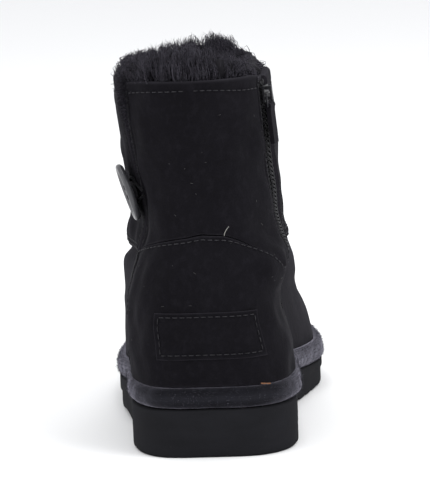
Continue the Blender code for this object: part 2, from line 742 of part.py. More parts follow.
def make_button():
    """Dished button with four holes, its thread and the loop round the thread."""
    panel_face = PANEL_CLEARANCE + PANEL_THICKNESS
    place = frame_at(BUTTON_PLACE, button_level, panel_face + BUTTON_STANDOFF)
    place = place @ Matrix.Rotation(BUTTON_SWING, 4, "Y") @ Matrix.Rotation(BUTTON_TILT, 4, "X")
    radius = BUTTON_DIAMETER / 2
    well = BUTTON_THICKNESS * 0.6
    profile = (
        (0.0, well),
        (0.68 * radius, well),
        (0.80 * radius, BUTTON_THICKNESS * 0.92),
        (0.90 * radius, BUTTON_THICKNESS),
        (0.98 * radius, BUTTON_THICKNESS * 0.78),
        (1.00 * radius, BUTTON_THICKNESS * 0.45),
        (0.93 * radius, 0.0),
        (0.0, 0.0),
    )
    edges = [(i, i + 1) for i in range(len(profile) - 1)]
    mesh = bpy.data.meshes.new("button")
    mesh.from_pydata([(r, 0, z) for r, z in profile], edges, [])
    button = bpy.data.objects.new("button", mesh)
    boot.objects.link(button)
    mesh.materials.append(materials["button"])
    turn = button.modifiers.new("Turn", "SCREW")
    turn.steps = 24
    turn.render_steps = 24
    turn.use_merge_vertices = True
    turn.merge_threshold = 0.00001
    turn.use_smooth_shade = True
    button.matrix_world = place
    spread = BUTTON_HOLE
    for i, (x, y) in enumerate(((-1, -1), (-1, 1), (1, -1), (1, 1))):
        hole = cylinder_mesh(f"hole_{i}", BUTTON_HOLE / 2, -0.002, BUTTON_THICKNESS * 2, 8, (x * spread, y * spread))
        cutter = add_object(f"button_hole_{i}", hole, "button", cutters)
        cutter.matrix_world = place
        apply_boolean(button, cutter, "DIFFERENCE")

    shank_radius = spread * 1.75
    lean = math.sin(math.hypot(BUTTON_TILT, BUTTON_SWING))
    foot = CLEARANCE + shank_radius * lean - BUTTON_STANDOFF
    shank = cylinder_mesh("button_thread", shank_radius, foot, -CLEARANCE, 12)
    thread = add_object("button_thread", shank, "thread")
    thread.matrix_world = place
    top = well + THREAD_DIAMETER / 2 + CLEARANCE
    for i, y in enumerate((-spread, spread)):
        path = ((-spread, y, -0.0016), (-spread, y, top), (spread, y, top), (spread, y, -0.0016))
        staple = add_object(f"staple_{i}", tube_mesh(f"staple_{i}", path, THREAD_DIAMETER), "thread", cutters)
        staple.matrix_world = place
        apply_boolean(thread, staple, "UNION")

    # The loop leaves the back panel's edge, crosses the slit and passes round the thread
    lift = panel_face + CLEARANCE + LOOP_DIAMETER / 2
    ring = shank_radius + LOOP_SLACK + LOOP_DIAMETER / 2 + BUTTON_STANDOFF * lean / 2
    seat = frame_at(BUTTON_PLACE, button_level, 0.0).inverted()
    start = (seat @ Vector(base_point(slit_turns[1], button_level))).x - CLEARANCE - LOOP_DIAMETER / 2
    path = [(start, LOOP_DIAMETER * 0.8, lift * 0.75)]
    for angle in np.linspace(math.radians(45), math.radians(315), 13):
        path.append((ring * math.cos(angle), ring * math.sin(angle), lift))
    path.append((start, -LOOP_DIAMETER * 0.8, lift * 0.75))
    points = []
    for across, up, out in path:
        u, v = step_from(BUTTON_PLACE, button_level, across, up)
        points.append(surface(u, v, out))
    add_object("elastic_loop", tube_mesh("elastic_loop", points, LOOP_DIAMETER), "thread")


def make_zip():
    """Closed zip in the channel between the panels, its slider and the pull that hangs on it."""
    half = CHAIN_WIDTH / girth(1.0) / 2
    u = np.array([ZIP_PLACE - half, ZIP_PLACE + half])
    low = counter_edge(np.array([counter_turns[1]]))[0] - 0.02
    slider_level = level_at(SLIDER_HEIGHT, ZIP_PLACE)
    overlay("zip_chain", u, np.full(2, low), np.full(2, 0.985), 18, CLEARANCE, CHAIN_THICKNESS, "thread")

    base = CLEARANCE * 2 + CHAIN_THICKNESS
    place = frame_at(ZIP_PLACE, slider_level, base)
    half_width = SLIDER_WIDTH / 2
    half_length = SLIDER_LENGTH / 2
    body = box_mesh(
        "zip_slider", (-half_width, -half_length, CLEARANCE), (half_width, half_length, SLIDER_THICKNESS)
    )
    slider = add_object("zip_slider", body, "metal")
    slider.matrix_world = place
    top = SLIDER_THICKNESS + BRIDGE_HEIGHT
    outer = half_length * 0.85
    inner = outer - BRIDGE_WIDTH
    bridge = box_mesh("bridge", (-BRIDGE_WIDTH / 2, -outer, SLIDER_THICKNESS / 2), (BRIDGE_WIDTH / 2, outer, top))
    arch = add_object("slider_bridge", bridge, "metal", cutters)
    arch.matrix_world = place
    gap = box_mesh("gap", (-BRIDGE_WIDTH, -inner, SLIDER_THICKNESS), (BRIDGE_WIDTH, inner, top - BRIDGE_BAR))
    void = add_object("bridge_gap", gap, "metal", cutters)
    void.matrix_world = place
    apply_boolean(slider, arch, "UNION")
    apply_boolean(slider, void, "DIFFERENCE")

    # The link's upper bar is the hinge, under the bridge
    axis_height = (SLIDER_THICKNESS + top - BRIDGE_BAR) / 2
    hinge = place @ Matrix.Translation((0, 0, axis_height))
    arm = TAB_WIDTH / 2 + CLEARANCE + LINK_WIRE / 2
    corners = ((-arm, 0, 0), (arm, 0, 0), (arm, -LINK_LENGTH, 0), (-arm, -LINK_LENGTH, 0))
    link = add_object("zip_pull", tube_mesh("zip_pull", corners, LINK_WIRE, cyclic=True), "metal")
    link.matrix_world = hinge

    eye = LINK_WIRE / 2 + CLEARANCE
    collar = eye + TAB_THICKNESS * 0.38
    half_tab = TAB_THICKNESS / 2
    outline = [(collar * math.sin(a), collar * math.cos(a)) for a in np.linspace(-2.2, 2.2, 11)]
    outline += [(half_tab, -collar - half_tab), (half_tab, -TAB_LENGTH), (-half_tab, -TAB_LENGTH)]
    outline += [(-half_tab, -collar - half_tab)]
    shape = bmesh.new()
    sides = []
    for x in (-TAB_WIDTH / 2, TAB_WIDTH / 2):
        sides.append([shape.verts.new((x, y - LINK_LENGTH, z)) for z, y in outline])
    shape.faces.new(sides[0])
    shape.faces.new(sides[1][::-1])
    for i in range(len(outline)):
        k = (i + 1) % len(outline)
        shape.faces.new((sides[0][i], sides[1][i], sides[1][k], sides[0][k]))
    bmesh.ops.recalc_face_normals(shape, faces=shape.faces)
    mesh = bpy.data.meshes.new("zip_pull_tab")
    shape.to_mesh(mesh)
    shape.free()
    tab = add_object("zip_pull_tab", mesh, "suede")
    tab.matrix_world = hinge
    hole = cylinder_mesh("tab_eye", eye, -TAB_WIDTH, TAB_WIDTH, 10)
    cutter = add_object("tab_eye", hole, "suede", cutters)
    cutter.matrix_world = hinge @ Matrix.Translation((0, -LINK_LENGTH, 0)) @ Matrix.Rotation(math.pi / 2, 4, "Y")
    apply_boolean(tab, cutter, "DIFFERENCE")


def stand_on_origin():
    """Parent every piece to one empty, which puts the middle of the outer box over the origin."""
    bpy.context.view_layer.update()
    graph = bpy.context.evaluated_depsgraph_get()
    corners = []
    for thing in boot.objects:
        solid = thing.evaluated_get(graph)
        corners += [solid.matrix_world @ vert.co for vert in solid.to_mesh().vertices]
        solid.to_mesh_clear()
    low = [min(c[k] for c in corners) for k in range(3)]
    high = [max(c[k] for c in corners) for k in range(3)]
    stand = bpy.data.objects.new("stand", None)
    boot.objects.link(stand)
    for thing in [*boot.objects, *cutters.objects]:
        if thing is not stand:
            thing.parent = stand
    stand.location = (-(low[0] + high[0]) / 2, -(low[1] + high[1]) / 2, -low[2])


make_outsole()
make_insole()
make_upper()
make_binding()
make_panels()
make_patch()
make_fleece()
make_button()
make_zip()
stand_on_origin()
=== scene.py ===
"""Sheepskin ankle boot for the left foot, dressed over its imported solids.

An add-on with a panel in the 3D view's sidebar, with one operator for each group of pieces.
Units are metres, +Z is up, +Y runs from heel to toe and +X is the inner side, where the zip is.
The shape functions are those of the solids. They count x from the middle of the heel and y from the
back of the sole, and add_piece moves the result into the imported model's frame.
"""

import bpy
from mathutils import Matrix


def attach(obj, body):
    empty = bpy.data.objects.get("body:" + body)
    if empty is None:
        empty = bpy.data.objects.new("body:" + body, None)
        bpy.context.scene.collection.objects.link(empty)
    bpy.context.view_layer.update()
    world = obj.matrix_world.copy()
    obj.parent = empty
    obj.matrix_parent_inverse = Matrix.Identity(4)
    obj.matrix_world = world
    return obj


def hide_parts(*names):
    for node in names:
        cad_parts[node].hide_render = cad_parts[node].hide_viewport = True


bl_info = {
    "name": "Sheepskin Ankle Boot",
    "version": (1, 0, 0),
    "blender": (4, 5, 0),
    "location": "View3D > Sidebar > Boot",
    "description": "Builds a fleece lined ankle boot over its packed solids",
    "category": "Object",
}

import math

import bmesh
import bpy
import numpy as np
from mathutils import Matrix, Vector

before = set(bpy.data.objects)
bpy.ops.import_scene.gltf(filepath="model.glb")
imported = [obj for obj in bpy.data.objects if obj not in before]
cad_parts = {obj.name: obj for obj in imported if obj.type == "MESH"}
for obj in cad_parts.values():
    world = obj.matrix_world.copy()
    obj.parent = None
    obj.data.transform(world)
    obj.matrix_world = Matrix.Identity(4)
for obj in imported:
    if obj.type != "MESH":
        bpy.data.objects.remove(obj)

# Where the middle of the heel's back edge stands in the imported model's frame
OFFSET = (0.003967, -0.133186, 0.0)

# Sole
SOLE_LENGTH = 0.266
BALL_WIDTH = 0.101
WAIST_WIDTH = 0.070
HEEL_WIDTH = 0.075
HEEL_THICKNESS = 0.022
FOREFOOT_THICKNESS = 0.013
TOE_SPRING = 0.005
ARCH_RISE = 0.0025
ARCH_MIDDLE = 0.40
ARCH_REACH = 0.11
TOE_START = 0.80
TOE_REACH = 0.20
TREAD_PITCH = 0.012
TREAD_DEPTH = 0.0024
TREAD_SLOPE = 0.86
TREAD_LAYER = 0.009
TREAD_START = 0.09
TREAD_END = 0.96
TREAD_GAP = (0.30, 0.50)
SOLE_STEP = 0.0008
SMOOTH_HEEL = 0.12
BINDING_HEIGHT = 0.0098
BINDING_THICKNESS = 0.0046

# Upper
UPPER_WALL = 0.0018
BACK_HEIGHT = 0.149
INSTEP_HEIGHT = 0.1035
FRONT_HEIGHT = 0.149
COLLAR_DEPTH = 0.105
COLLAR_WIDTH = 0.0685
SHAFT_LEAN = 0.007
RIM_DIP = 0.002
PANEL_THICKNESS = 0.0012
COUNTER_THICKNESS = 0.0015
COUNTER_HEIGHT = 0.079
PATCH_WIDTH = 0.049
PATCH_HEIGHT = 0.0213
PATCH_ASIDE = 0.0018
PATCH_THICKNESS = 0.0009
PATCH_CENTRE = 0.034
PATCH_ROUNDING = 0.0007
SLIT_WIDTH = 0.004
SLIT_DEPTH = 0.062
INSOLE_THICKNESS = 0.005

# Suede panels: share of the thickness at the edge, how far the edge tucks under, the rows' dents, and how
# wide the lighter edge band is, partly rubbed suede and partly painted highlight
EDGE_SHARE = 0.35
EDGE_TUCK = 0.0004
SEAM_DENT = 0.00032
SEAM_DENT_WIDTH = 0.0008
RUBBED_AND_HIGHLIT_SHARE = 0.9

# Threads of the seams, and the slanted stitches over the counter's front edges
STITCH_SHARE = 0.72
STITCH_SIDES = 6
STITCH_LIFT = 0.0001
WHIP_COUNT = 9
WHIP_TOP = 0.012
WHIP_BOTTOM = 0.110
WHIP_REACH = 0.0042
WHIP_SLANT = 0.008
WHIP_RADIUS = 0.00026

# Fleece. Depths across the pile run from 0 at its outer side to 1 at its inner side.
LOCK_COUNT = 330
LOCK_SPREAD = 0.0045
LOCK_DEPTH_SPREAD = 0.10
LOCK_SWAY = 0.48
LOCK_GATHER = (0.10, 0.60)
HAIR_STEPS = 3
HAIR_SIDES = 3
HAIR_BEND = 0.0026
ROOT_RISE = 0.0075
ROOT_OUT = -0.0022
ROOT_REACH = 0.0075
ROOT_DROP = 0.012
INNER_DROP = 0.13
PILE_TURN = 0.62
PILE_INNER = 0.38
PILE_DEPTH = 0.0016
SLIT_HAIRS = 3600
FUZZ_HAIRS = 9000
FLUFF_COUNT = 34

# Button, loop and zip
BUTTON_DIAMETER = 0.0275
BUTTON_THICKNESS = 0.0032
BUTTON_HEIGHT = 0.0978
BUTTON_HOLE = 0.0024
BUTTON_STANDOFF = 0.0026
BUTTON_TILT = math.radians(4)
BUTTON_SWING = math.radians(-6)
BUTTON_WELL = 0.6
THREAD_PASSES = 4
THREAD_PITCH = 0.00042
THREAD_RISE = 0.0007
BUTTON_THREAD_RADIUS = 0.00026
SHANK_SHARE = 1.75
SHANK_TURNS = 9
SHANK_THREAD_RADIUS = 0.00036
LOOP_DIAMETER = 0.0013
LOOP_SLACK = 0.0009
ZIP_CHANNEL = 0.012
CHAIN_WIDTH = 0.0058
CHAIN_THICKNESS = 0.0010
RIB_COUNT = 44
RIB_RADIUS = 0.00055
RIB_SLANT = 0.0110
CLEARANCE = 0.0003
PANEL_CLEARANCE = 0.0007

# Edge of the sole, seen from above, from the heel round the medial side to the toe and back.
OUTLINE = (
    # share of the length, share of the width, width
    (0.000, 0.000, HEEL_WIDTH),
    (0.013, 0.330, HEEL_WIDTH),
    (0.100, 0.500, HEEL_WIDTH),
    (0.300, 0.473, HEEL_WIDTH),
    (0.445, 0.485, WAIST_WIDTH),
    (0.583, 0.408, BALL_WIDTH),
    (0.700, 0.455, BALL_WIDTH),
    (0.830, 0.410, BALL_WIDTH),
    (0.930, 0.290, BALL_WIDTH),
    (0.985, 0.150, BALL_WIDTH),
    (1.000, 0.020, BALL_WIDTH),
    (0.989, -0.150, BALL_WIDTH),
    (0.940, -0.340, BALL_WIDTH),
    (0.842, -0.480, BALL_WIDTH),
    (0.707, -0.532, BALL_WIDTH),
    (0.540, -0.520, BALL_WIDTH),
    (0.414, -0.690, WAIST_WIDTH),
    (0.282, -0.555, HEEL_WIDTH),
    (0.100, -0.500, HEEL_WIDTH),
    (0.013, -0.330, HEEL_WIDTH),
)
TOE_POINT = 10

# Sections of the upper, from the sole up to the collar, as in the solids.
SECTIONS = (
    # back in, back up, reach: foot, shaft, front up, width: ball, collar, taper, lean
    (0.0190, 0.000, 0.962, 0.000, 0.000, 0.925, 0.000, 0.00, 0.00),
    (0.0150, 0.067, 0.974, 0.000, 0.097, 0.930, 0.000, 0.02, 0.05),
    (0.0113, 0.141, 0.972, 0.000, 0.213, 0.920, 0.000, 0.05, 0.15),
    (0.0094, 0.208, 0.945, 0.000, 0.319, 0.890, 0.000, 0.09, 0.30),
    (0.0094, 0.268, 0.900, 0.000, 0.406, 0.865, 0.000, 0.15, 0.45),
    (0.0132, 0.322, 0.800, 0.085, 0.483, 0.800, 0.085, 0.22, 0.40),
    (0.0188, 0.376, 0.672, 0.200, 0.565, 0.725, 0.205, 0.28, 0.12),
    (0.0263, 0.430, 0.515, 0.380, 0.662, 0.590, 0.390, 0.34, -0.10),
    (0.0338, 0.483, 0.352, 0.580, 0.773, 0.370, 0.585, 0.36, 0.14),
    (0.0395, 0.544, 0.205, 0.770, 0.889, 0.180, 0.770, 0.30, 0.26),
    (0.0440, 0.611, 0.100, 0.900, 1.000, 0.075, 0.915, 0.18, 0.40),
    (0.0470, 0.691, 0.045, 0.960, 1.223, 0.025, 0.975, 0.08, 0.58),
    (0.0489, 0.792, 0.020, 0.980, 1.466, 0.010, 0.990, 0.03, 0.72),
    (0.0500, 0.893, 0.005, 0.995, 1.728, 0.003, 1.005, 0.00, 0.86),
    (0.0500, 1.000, 0.000, 1.000, 2.000, 0.000, 1.000, 0.00, 1.00),
)
SHAFT_SQUARENESS = 2.3
TAPER_START = 0.35
ZIP_PLACE = 0.170
SLIT_PLACE = 0.872
BUTTON_PLACE = SLIT_PLACE - 0.024
DIP_SPREAD = 0.07
DIP_ASIDE = 0.02
DIP_START = 0.80
DIP_REACH = 0.20
SLIT_DIP = 0.4

# Hollow where the button and its loop draw the side in: depth, level, reach up and down, reach round
PRESS_DEPTH = 0.0042
PRESS_LEVEL = 0.66
PRESS_RISE = 0.27
PRESS_SPREAD = 0.12
PRESS_ASIDE = 0.01

# Edges of the front panel and of the counter
VAMP_EDGE_SIDE = 0.505
VAMP_EDGE_FRONT = 0.665
VAMP_EDGE_SPREAD = 0.22
COUNTER_OUTER_DROP = 0.088
COUNTER_INNER_DROP = 0.175
COUNTER_POINT = 0.005
COUNTER_POINT_REACH = 0.02
COUNTER_OUTER_BEND = 1.6
COUNTER_INNER_REACH = 0.10

# Points on the curves
CURVE_SAMPLES = 1600
SPAN_SAMPLES = 80

# Soft folds of the worn hide. Turns count from the middle of the back by way of the inner side, levels
# from the sole to the rim, and a tilt of 0 runs round the boot.
FOLDS = (
    # turn, level, tilt, length, width, height
    (0.790, 0.500, 2, 0.052, 0.0042, -0.0024),
    (0.765, 0.445, -6, 0.050, 0.0085, 0.0016),
    (0.700, 0.560, 10, 0.045, 0.0070, 0.0010),
    (0.250, 0.515, -3, 0.055, 0.0060, -0.0026),
    (0.325, 0.360, 8, 0.060, 0.0120, 0.0034),
    (0.500, 0.590, 0, 0.070, 0.0060, -0.0022),
    (0.470, 0.530, 7, 0.060, 0.0075, 0.0014),
    (0.540, 0.480, -9, 0.055, 0.0060, -0.0014),
    (0.455, 0.430, 12, 0.050, 0.0065, -0.0012),
    (0.400, 0.365, 24, 0.040, 0.0070, -0.0011),
    (0.610, 0.350, -22, 0.048, 0.0075, -0.0012),
    (0.500, 0.330, 3, 0.050, 0.0100, -0.0008),
    (0.350, 0.215, 30, 0.035, 0.0070, -0.0010),
    (0.655, 0.240, -35, 0.036, 0.0080, -0.0009),
    (0.060, 0.330, 72, 0.030, 0.0070, -0.0006),
    (0.935, 0.300, -75, 0.034, 0.0080, -0.0006),
    (0.130, 0.400, 15, 0.035, 0.0080, -0.0008),
    (0.880, 0.420, -18, 0.032, 0.0070, -0.0008),
    (0.110, 0.170, -20, 0.030, 0.0090, 0.0006),
    (0.900, 0.160, 24, 0.028, 0.0090, 0.0006),
    (0.985, 0.760, 86, 0.045, 0.0110, -0.0005),
    (0.060, 0.700, 80, 0.040, 0.0120, 0.0005),
    (0.600, 0.780, 82, 0.040, 0.0120, -0.0006),
    (0.410, 0.740, -80, 0.040, 0.0130, -0.0006),
)

FOLD_BOW = 0.10
FOLD_FADE_LOW = 0.10
FOLD_FADE_HIGH = 0.06

# Rows of stitches beside the edges of each panel, with their distances from the edge
SEAMS = {
    "counter": (("high", 0.0019), ("first", 0.0020), ("last", 0.0020), ("first", 0.0042), ("last", 0.0042)),
    "back": (("high", 0.0036), ("first", 0.0022), ("last", 0.0022)),
    "front": (("high", 0.0050), ("low", 0.0020), ("low", 0.0045), ("first", 0.0022), ("last", 0.0022)),
    "patch": (("low", 0.0021), ("high", 0.0021), ("first", 0.0021), ("last", 0.0021)),
}
STITCHES = (
    # piece, panels, edges, finish
    ("shaft_stitches", ("back", "front"), ("high", "low"), "thread_grey"),
    ("shaft_side_stitches", ("back", "front"), ("first", "last"), "thread_black"),
    ("counter_top_stitches", ("counter",), ("high",), "thread_grey"),
    ("counter_side_stitches", ("counter",), ("first", "last"), "thread_black"),
    ("patch_stitches", ("patch",), ("high", "low", "first", "last"), "thread_dull"),
)

rows = np.array(SECTIONS)
levels = np.linspace(0, 1, len(SECTIONS))


def smooth(x, xs, ys):
    """Values at x on a smooth curve through the points, with no overshoot between them."""
    x = np.clip(np.asarray(x, float), xs[0], xs[-1])
    xs = np.asarray(xs, float)
    ys = np.asarray(ys, float)
    step = np.diff(xs)
    slope = np.diff(ys) / step
    tangent = np.zeros(len(xs))
    for i in range(1, len(xs) - 1):
        if slope[i - 1] * slope[i] > 0:
            a = 2 * step[i] + step[i - 1]
            b = step[i] + 2 * step[i - 1]
            tangent[i] = (a + b) / (a / slope[i - 1] + b / slope[i])
    tangent[0] = slope[0]
    tangent[-1] = slope[-1]
    i = np.clip(np.searchsorted(xs, x) - 1, 0, len(step) - 1)
    t = (x - xs[i]) / step[i]
    start = ys[i] * (1 + 2 * t) * (1 - t) ** 2 + step[i] * tangent[i] * t * (1 - t) ** 2
    end = ys[i + 1] * t * t * (3 - 2 * t) - step[i] * tangent[i + 1] * t * t * (1 - t)
    return start + end


def ease(x):
    """Smooth step from 0 to 1."""
    x = np.clip(x, 0, 1)
    return x * x * (3 - 2 * x)


def wrapped(u, place):
    """Signed distance in turns from a place round the boot."""
    return (np.asarray(u, float) - place + 0.5) % 1 - 0.5


def bump(u, place, spread):
    """Smooth hump of height 1 at a place round the boot."""
    return ease(1 - np.abs(wrapped(u, place)) / spread)


def unit(vectors):
    """The same directions with a length of 1."""
    return vectors / np.maximum(np.linalg.norm(vectors, axis=-1, keepdims=True), 1e-9)


def smooth_path(path, count):
    """A number of points on a smooth line through the points of a path."""
    at = np.linspace(0, len(path) - 1, count)
    places = np.arange(len(path))
    return np.stack([smooth(at, places, path[:, k]) for k in range(3)], axis=1)


def even_steps(points, toe):
    """Closed line with equal steps along each side, and the point numbered toe in the middle."""
    line = np.concatenate([points, points[:1]])
    length = np.concatenate([[0], np.cumsum(np.linalg.norm(np.diff(line, axis=0), axis=1))])
    half = CURVE_SAMPLES // 2
    medial = np.linspace(0, length[toe], half, endpoint=False)
    lateral = np.linspace(length[toe], length[-1], half + 1)
    at = np.concatenate([medial, lateral])
    return np.stack([np.interp(at, length, line[:, k]) for k in (0, 1)], axis=1)


def outline_curve():
    """Edge of the sole, as a smooth closed line through the outline's points."""
    points = np.array([(across * width, along * SOLE_LENGTH) for along, across, width in OUTLINE])
    count = len(points)
    line = []
    for i in range(count):
        p0, p1, p2, p3 = (points[(i + k) % count] for k in (-1, 0, 1, 2))
        before = (p2 - p0) / 2
        after = (p3 - p1) / 2
        for t in np.linspace(0, 1, SPAN_SAMPLES, endpoint=False):
            line.append(
                p1 * (1 + 2 * t) * (1 - t) ** 2
                + before * t * (1 - t) ** 2
                + p2 * t * t * (3 - 2 * t)
                - after * t * t * (1 - t)
            )
    return even_steps(np.array(line), TOE_POINT * SPAN_SAMPLES)


def shaft_curve():
    """Oval of the collar, as shares of its width and depth."""
    turn = np.linspace(0, 2 * np.pi, CURVE_SAMPLES, endpoint=False)
    power = 2 / SHAFT_SQUARENESS
    across = 0.5 * np.sign(np.sin(turn)) * np.abs(np.sin(turn)) ** power
    along = 0.5 - 0.5 * np.sign(np.cos(turn)) * np.abs(np.cos(turn)) ** power
    size = np.array([COLLAR_WIDTH, COLLAR_DEPTH])
    return even_steps(np.stack([across, along], axis=1) * size, CURVE_SAMPLES // 2) / size


edge_curve = outline_curve()
oval_curve = shaft_curve()
curve_turns = np.linspace(0, 1, CURVE_SAMPLES + 1)


def sole_edge(u, inset=0.0):
    """Points x, y on the edge of the sole, moved inwards by inset."""
    u = np.asarray(u, float) % 1
    x = np.interp(u, curve_turns, edge_curve[:, 0])
    y = np.interp(u, curve_turns, edge_curve[:, 1])
    reach = 0.012
    ahead = [np.interp((u + reach) % 1, curve_turns, edge_curve[:, k]) for k in (0, 1)]
    behind = [np.interp((u - reach) % 1, curve_turns, edge_curve[:, k]) for k in (0, 1)]
    dx = ahead[0] - behind[0]
    dy = ahead[1] - behind[1]
    size = np.hypot(dx, dy)
    return x - inset * dy / size, y + inset * dx / size


def ground(y):
    """Height of the underside: flat under heel and ball, raised in the arch and at the toe."""
    share = np.asarray(y, float) / SOLE_LENGTH
    arch = ARCH_RISE * ease(1 - np.abs(share - ARCH_MIDDLE) / ARCH_REACH)
    toe = TOE_SPRING * np.clip((share - TOE_START) / TOE_REACH, 0, None) ** 2
    return arch + toe


def sole_top(y):
    """Height of the top of the sole."""
    levels_here = (HEEL_THICKNESS, HEEL_THICKNESS, FOREFOOT_THICKNESS, FOREFOOT_THICKNESS + TOE_SPRING)
    shares = (0.0, 0.19, 0.70, 1.0)
    return smooth(np.asarray(y, float) / SOLE_LENGTH, shares, levels_here)


def row_value(v, column):
    """One column of the table of sections, at a level from 0 at the sole to 1 at the rim."""
    return smooth(v, levels, rows[:, column])


def base_point(u, v):
    """Points on the outside of the upper, for turns u and levels v."""
    u, v = np.broadcast_arrays(np.asarray(u, float), np.asarray(v, float))
    back = row_value(v, 0) * SOLE_LENGTH
    back_up = row_value(v, 1) * BACK_HEIGHT
    shaft = row_value(v, 3)
    reach = row_value(v, 2) * SOLE_LENGTH + shaft * COLLAR_DEPTH
    front = row_value(v, 4)
    front_up = np.minimum(front, 1) * INSTEP_HEIGHT
    front_up = front_up + np.maximum(front - 1, 0) * (FRONT_HEIGHT - INSTEP_HEIGHT)
    width = row_value(v, 5) * BALL_WIDTH + row_value(v, 6) * COLLAR_WIDTH

    x, y = sole_edge(u)
    foot_across = x / BALL_WIDTH
    foot_along = y / SOLE_LENGTH
    shaft_across = np.interp(u % 1, curve_turns, oval_curve[:, 0])
    shaft_along = np.interp(u % 1, curve_turns, oval_curve[:, 1])
    across = foot_across * (1 - shaft) + shaft_across * shaft
    along = foot_along * (1 - shaft) + shaft_along * shaft

    narrow = 1 - row_value(v, 7) * ease((along - TAPER_START) / (1 - TAPER_START))
    x = across * width * narrow - SHAFT_LEAN * row_value(v, 8)
    pressed = bump(u, BUTTON_PLACE + PRESS_ASIDE, PRESS_SPREAD)
    x = x + PRESS_DEPTH * (pressed * ease(1 - np.abs(v - PRESS_LEVEL) / PRESS_RISE))
    y = back + along * reach
    z = sole_top(y) + CLEARANCE + back_up * (1 - along) + front_up * along
    dip = RIM_DIP * bump(u, ZIP_PLACE + DIP_ASIDE, DIP_SPREAD)
    dip = dip + SLIT_DIP * RIM_DIP * bump(u, SLIT_PLACE, DIP_SPREAD)
    z = z - dip * ease((v - DIP_START) / DIP_REACH)
    return np.stack([x, y, z], axis=-1)


def girth(v):
    """Length once round the upper at a level."""
    ring = base_point(np.linspace(0, 1, 201), v)
    return float(np.linalg.norm(np.diff(ring, axis=0), axis=1).sum())


girth_levels = np.linspace(0, 1, 21)
girths = np.array([girth(v) for v in girth_levels])


def relief(u, v):
    """How far the folds push the hide out at each place."""
    u, v = np.broadcast_arrays(np.asarray(u, float), np.asarray(v, float))
    total = np.zeros(u.shape)
    for turn, level, tilt, length, width, height in FOLDS:
        round_way = wrapped(u, turn) * np.interp(level, girth_levels, girths)
        up_way = (v - level) * BACK_HEIGHT
        angle = math.radians(tilt)
        bow = FOLD_BOW * round_way**2 / length
        along = round_way * math.cos(angle) + up_way * math.sin(angle)
        across = -round_way * math.sin(angle) + up_way * math.cos(angle) + bow
        fade = ease(1 - np.abs(along) / length)
        total = total + height * fade * np.exp(-((across / width) ** 2))
    still = ease(v / FOLD_FADE_LOW) * ease((1 - v) / FOLD_FADE_HIGH)
    return total * still * bpy.context.scene.boot_look.fold_depth


def surface(u, v, out=0.0, folded=True):
    """Points at a distance out from the outside of the upper, along its normal."""
    u, v, out = np.broadcast_arrays(np.asarray(u, float), np.asarray(v, float), np.asarray(out, float))
    step = 0.004
    along_u = base_point(u + step, v) - base_point(u - step, v)
    along_v = base_point(u, np.minimum(v + step, 1)) - base_point(u, np.maximum(v - step, 0))
    normal = unit(np.cross(along_u, along_v))
    lift = out + relief(u, v) if folded else out
    return base_point(u, v) + normal * lift[..., None]


def normal_at(u, v):
    """Unit normals of the upper."""
    return unit(surface(u, v, 0.001, False) - surface(u, v, 0.0, False))


def level_at(height, u=0.0):
    """Level at which the outside of the upper is at a height over the sole's top at the heel."""
    tries = np.linspace(0, 1, 400)
    return float(np.interp(height + HEEL_THICKNESS, base_point(u, tries)[:, 2], tries))


def frame_at(u, v, out):
    """Matrix at a place on the upper: x runs round the boot, y up its side and z outwards."""
    rise = 0.01
    step = 0.004
    centre = surface(u, v, out, False)
    up = surface(u, v + rise, out, False) - surface(u, v - rise, out, False)
    around = surface(u + step, v, out, False) - surface(u - step, v, out, False)
    up = Vector(up).normalized()
    outwards = Vector(around).cross(up).normalized()
    across = up.cross(outwards)
    matrix = Matrix((across, up, outwards)).transposed().to_4x4()
    matrix.translation = Vector(centre)
    return matrix


def step_from(u, v, across, up, out=0.0):
    """Turn and level at lengths across and up from a place, measured flat against the upper there."""
    seat = frame_at(u, v, out).inverted()
    nudge = 0.01
    for _ in range(4):
        here = seat @ Vector(surface(u, v, out, False))
        per_turn = ((seat @ Vector(surface(u + nudge, v, out, False))).x - here.x) / nudge
        per_level = ((seat @ Vector(surface(u, v + nudge, out, False))).y - here.y) / nudge
        u += (across - here.x) / per_turn
        v += (up - here.y) / per_level
    return u, v


# Edges of the panels, as in the solids
slit_half = SLIT_WIDTH / girth(1.0) / 2
zip_half = ZIP_CHANNEL / girth(1.0) / 2
slit_turns = (SLIT_PLACE - slit_half, SLIT_PLACE + slit_half)
zip_turns = (ZIP_PLACE - zip_half, ZIP_PLACE + zip_half)
counter_turns = (SLIT_PLACE + slit_half - 1, ZIP_PLACE - zip_half)
counter_top = level_at(COUNTER_HEIGHT)
slit_bottom = level_at(BACK_HEIGHT - SLIT_DEPTH)
binding_top = level_at(BINDING_HEIGHT)
button_level = level_at(BUTTON_HEIGHT, BUTTON_PLACE)


def counter_edge(u):
    """Level of the counter's top edge: a small point at the back, then down to each side."""
    outer = COUNTER_OUTER_DROP * np.clip(u / counter_turns[0], 0, 1) ** COUNTER_OUTER_BEND
    inner = COUNTER_INNER_DROP * ease((u - COUNTER_POINT_REACH) / COUNTER_INNER_REACH)
    point = COUNTER_POINT * np.clip(np.abs(u) / COUNTER_POINT_REACH, 0, 1)
    return counter_top - outer - inner - point


def vamp_edge(u):
    """Level of the front panel's lower edge."""
    over_instep = ease(1 - np.abs(u - 0.5) / VAMP_EDGE_SPREAD)
    return VAMP_EDGE_SIDE + (VAMP_EDGE_FRONT - VAMP_EDGE_SIDE) * over_instep


def waves(points, size, seed):
    """Soft random field between about -1 and 1, with humps of a size."""
    count = 14
    draw = np.random.default_rng(seed)
    total = np.zeros(points.shape[:-1])
    for _ in range(count):
        way = draw.normal(size=3)
        way = way / np.linalg.norm(way) * (2 * np.pi / size) * draw.uniform(0.6, 1.5)
        total = total + np.sin(points @ way + draw.uniform(0, 2 * np.pi))
    return total / math.sqrt(count)


# Mesh helpers


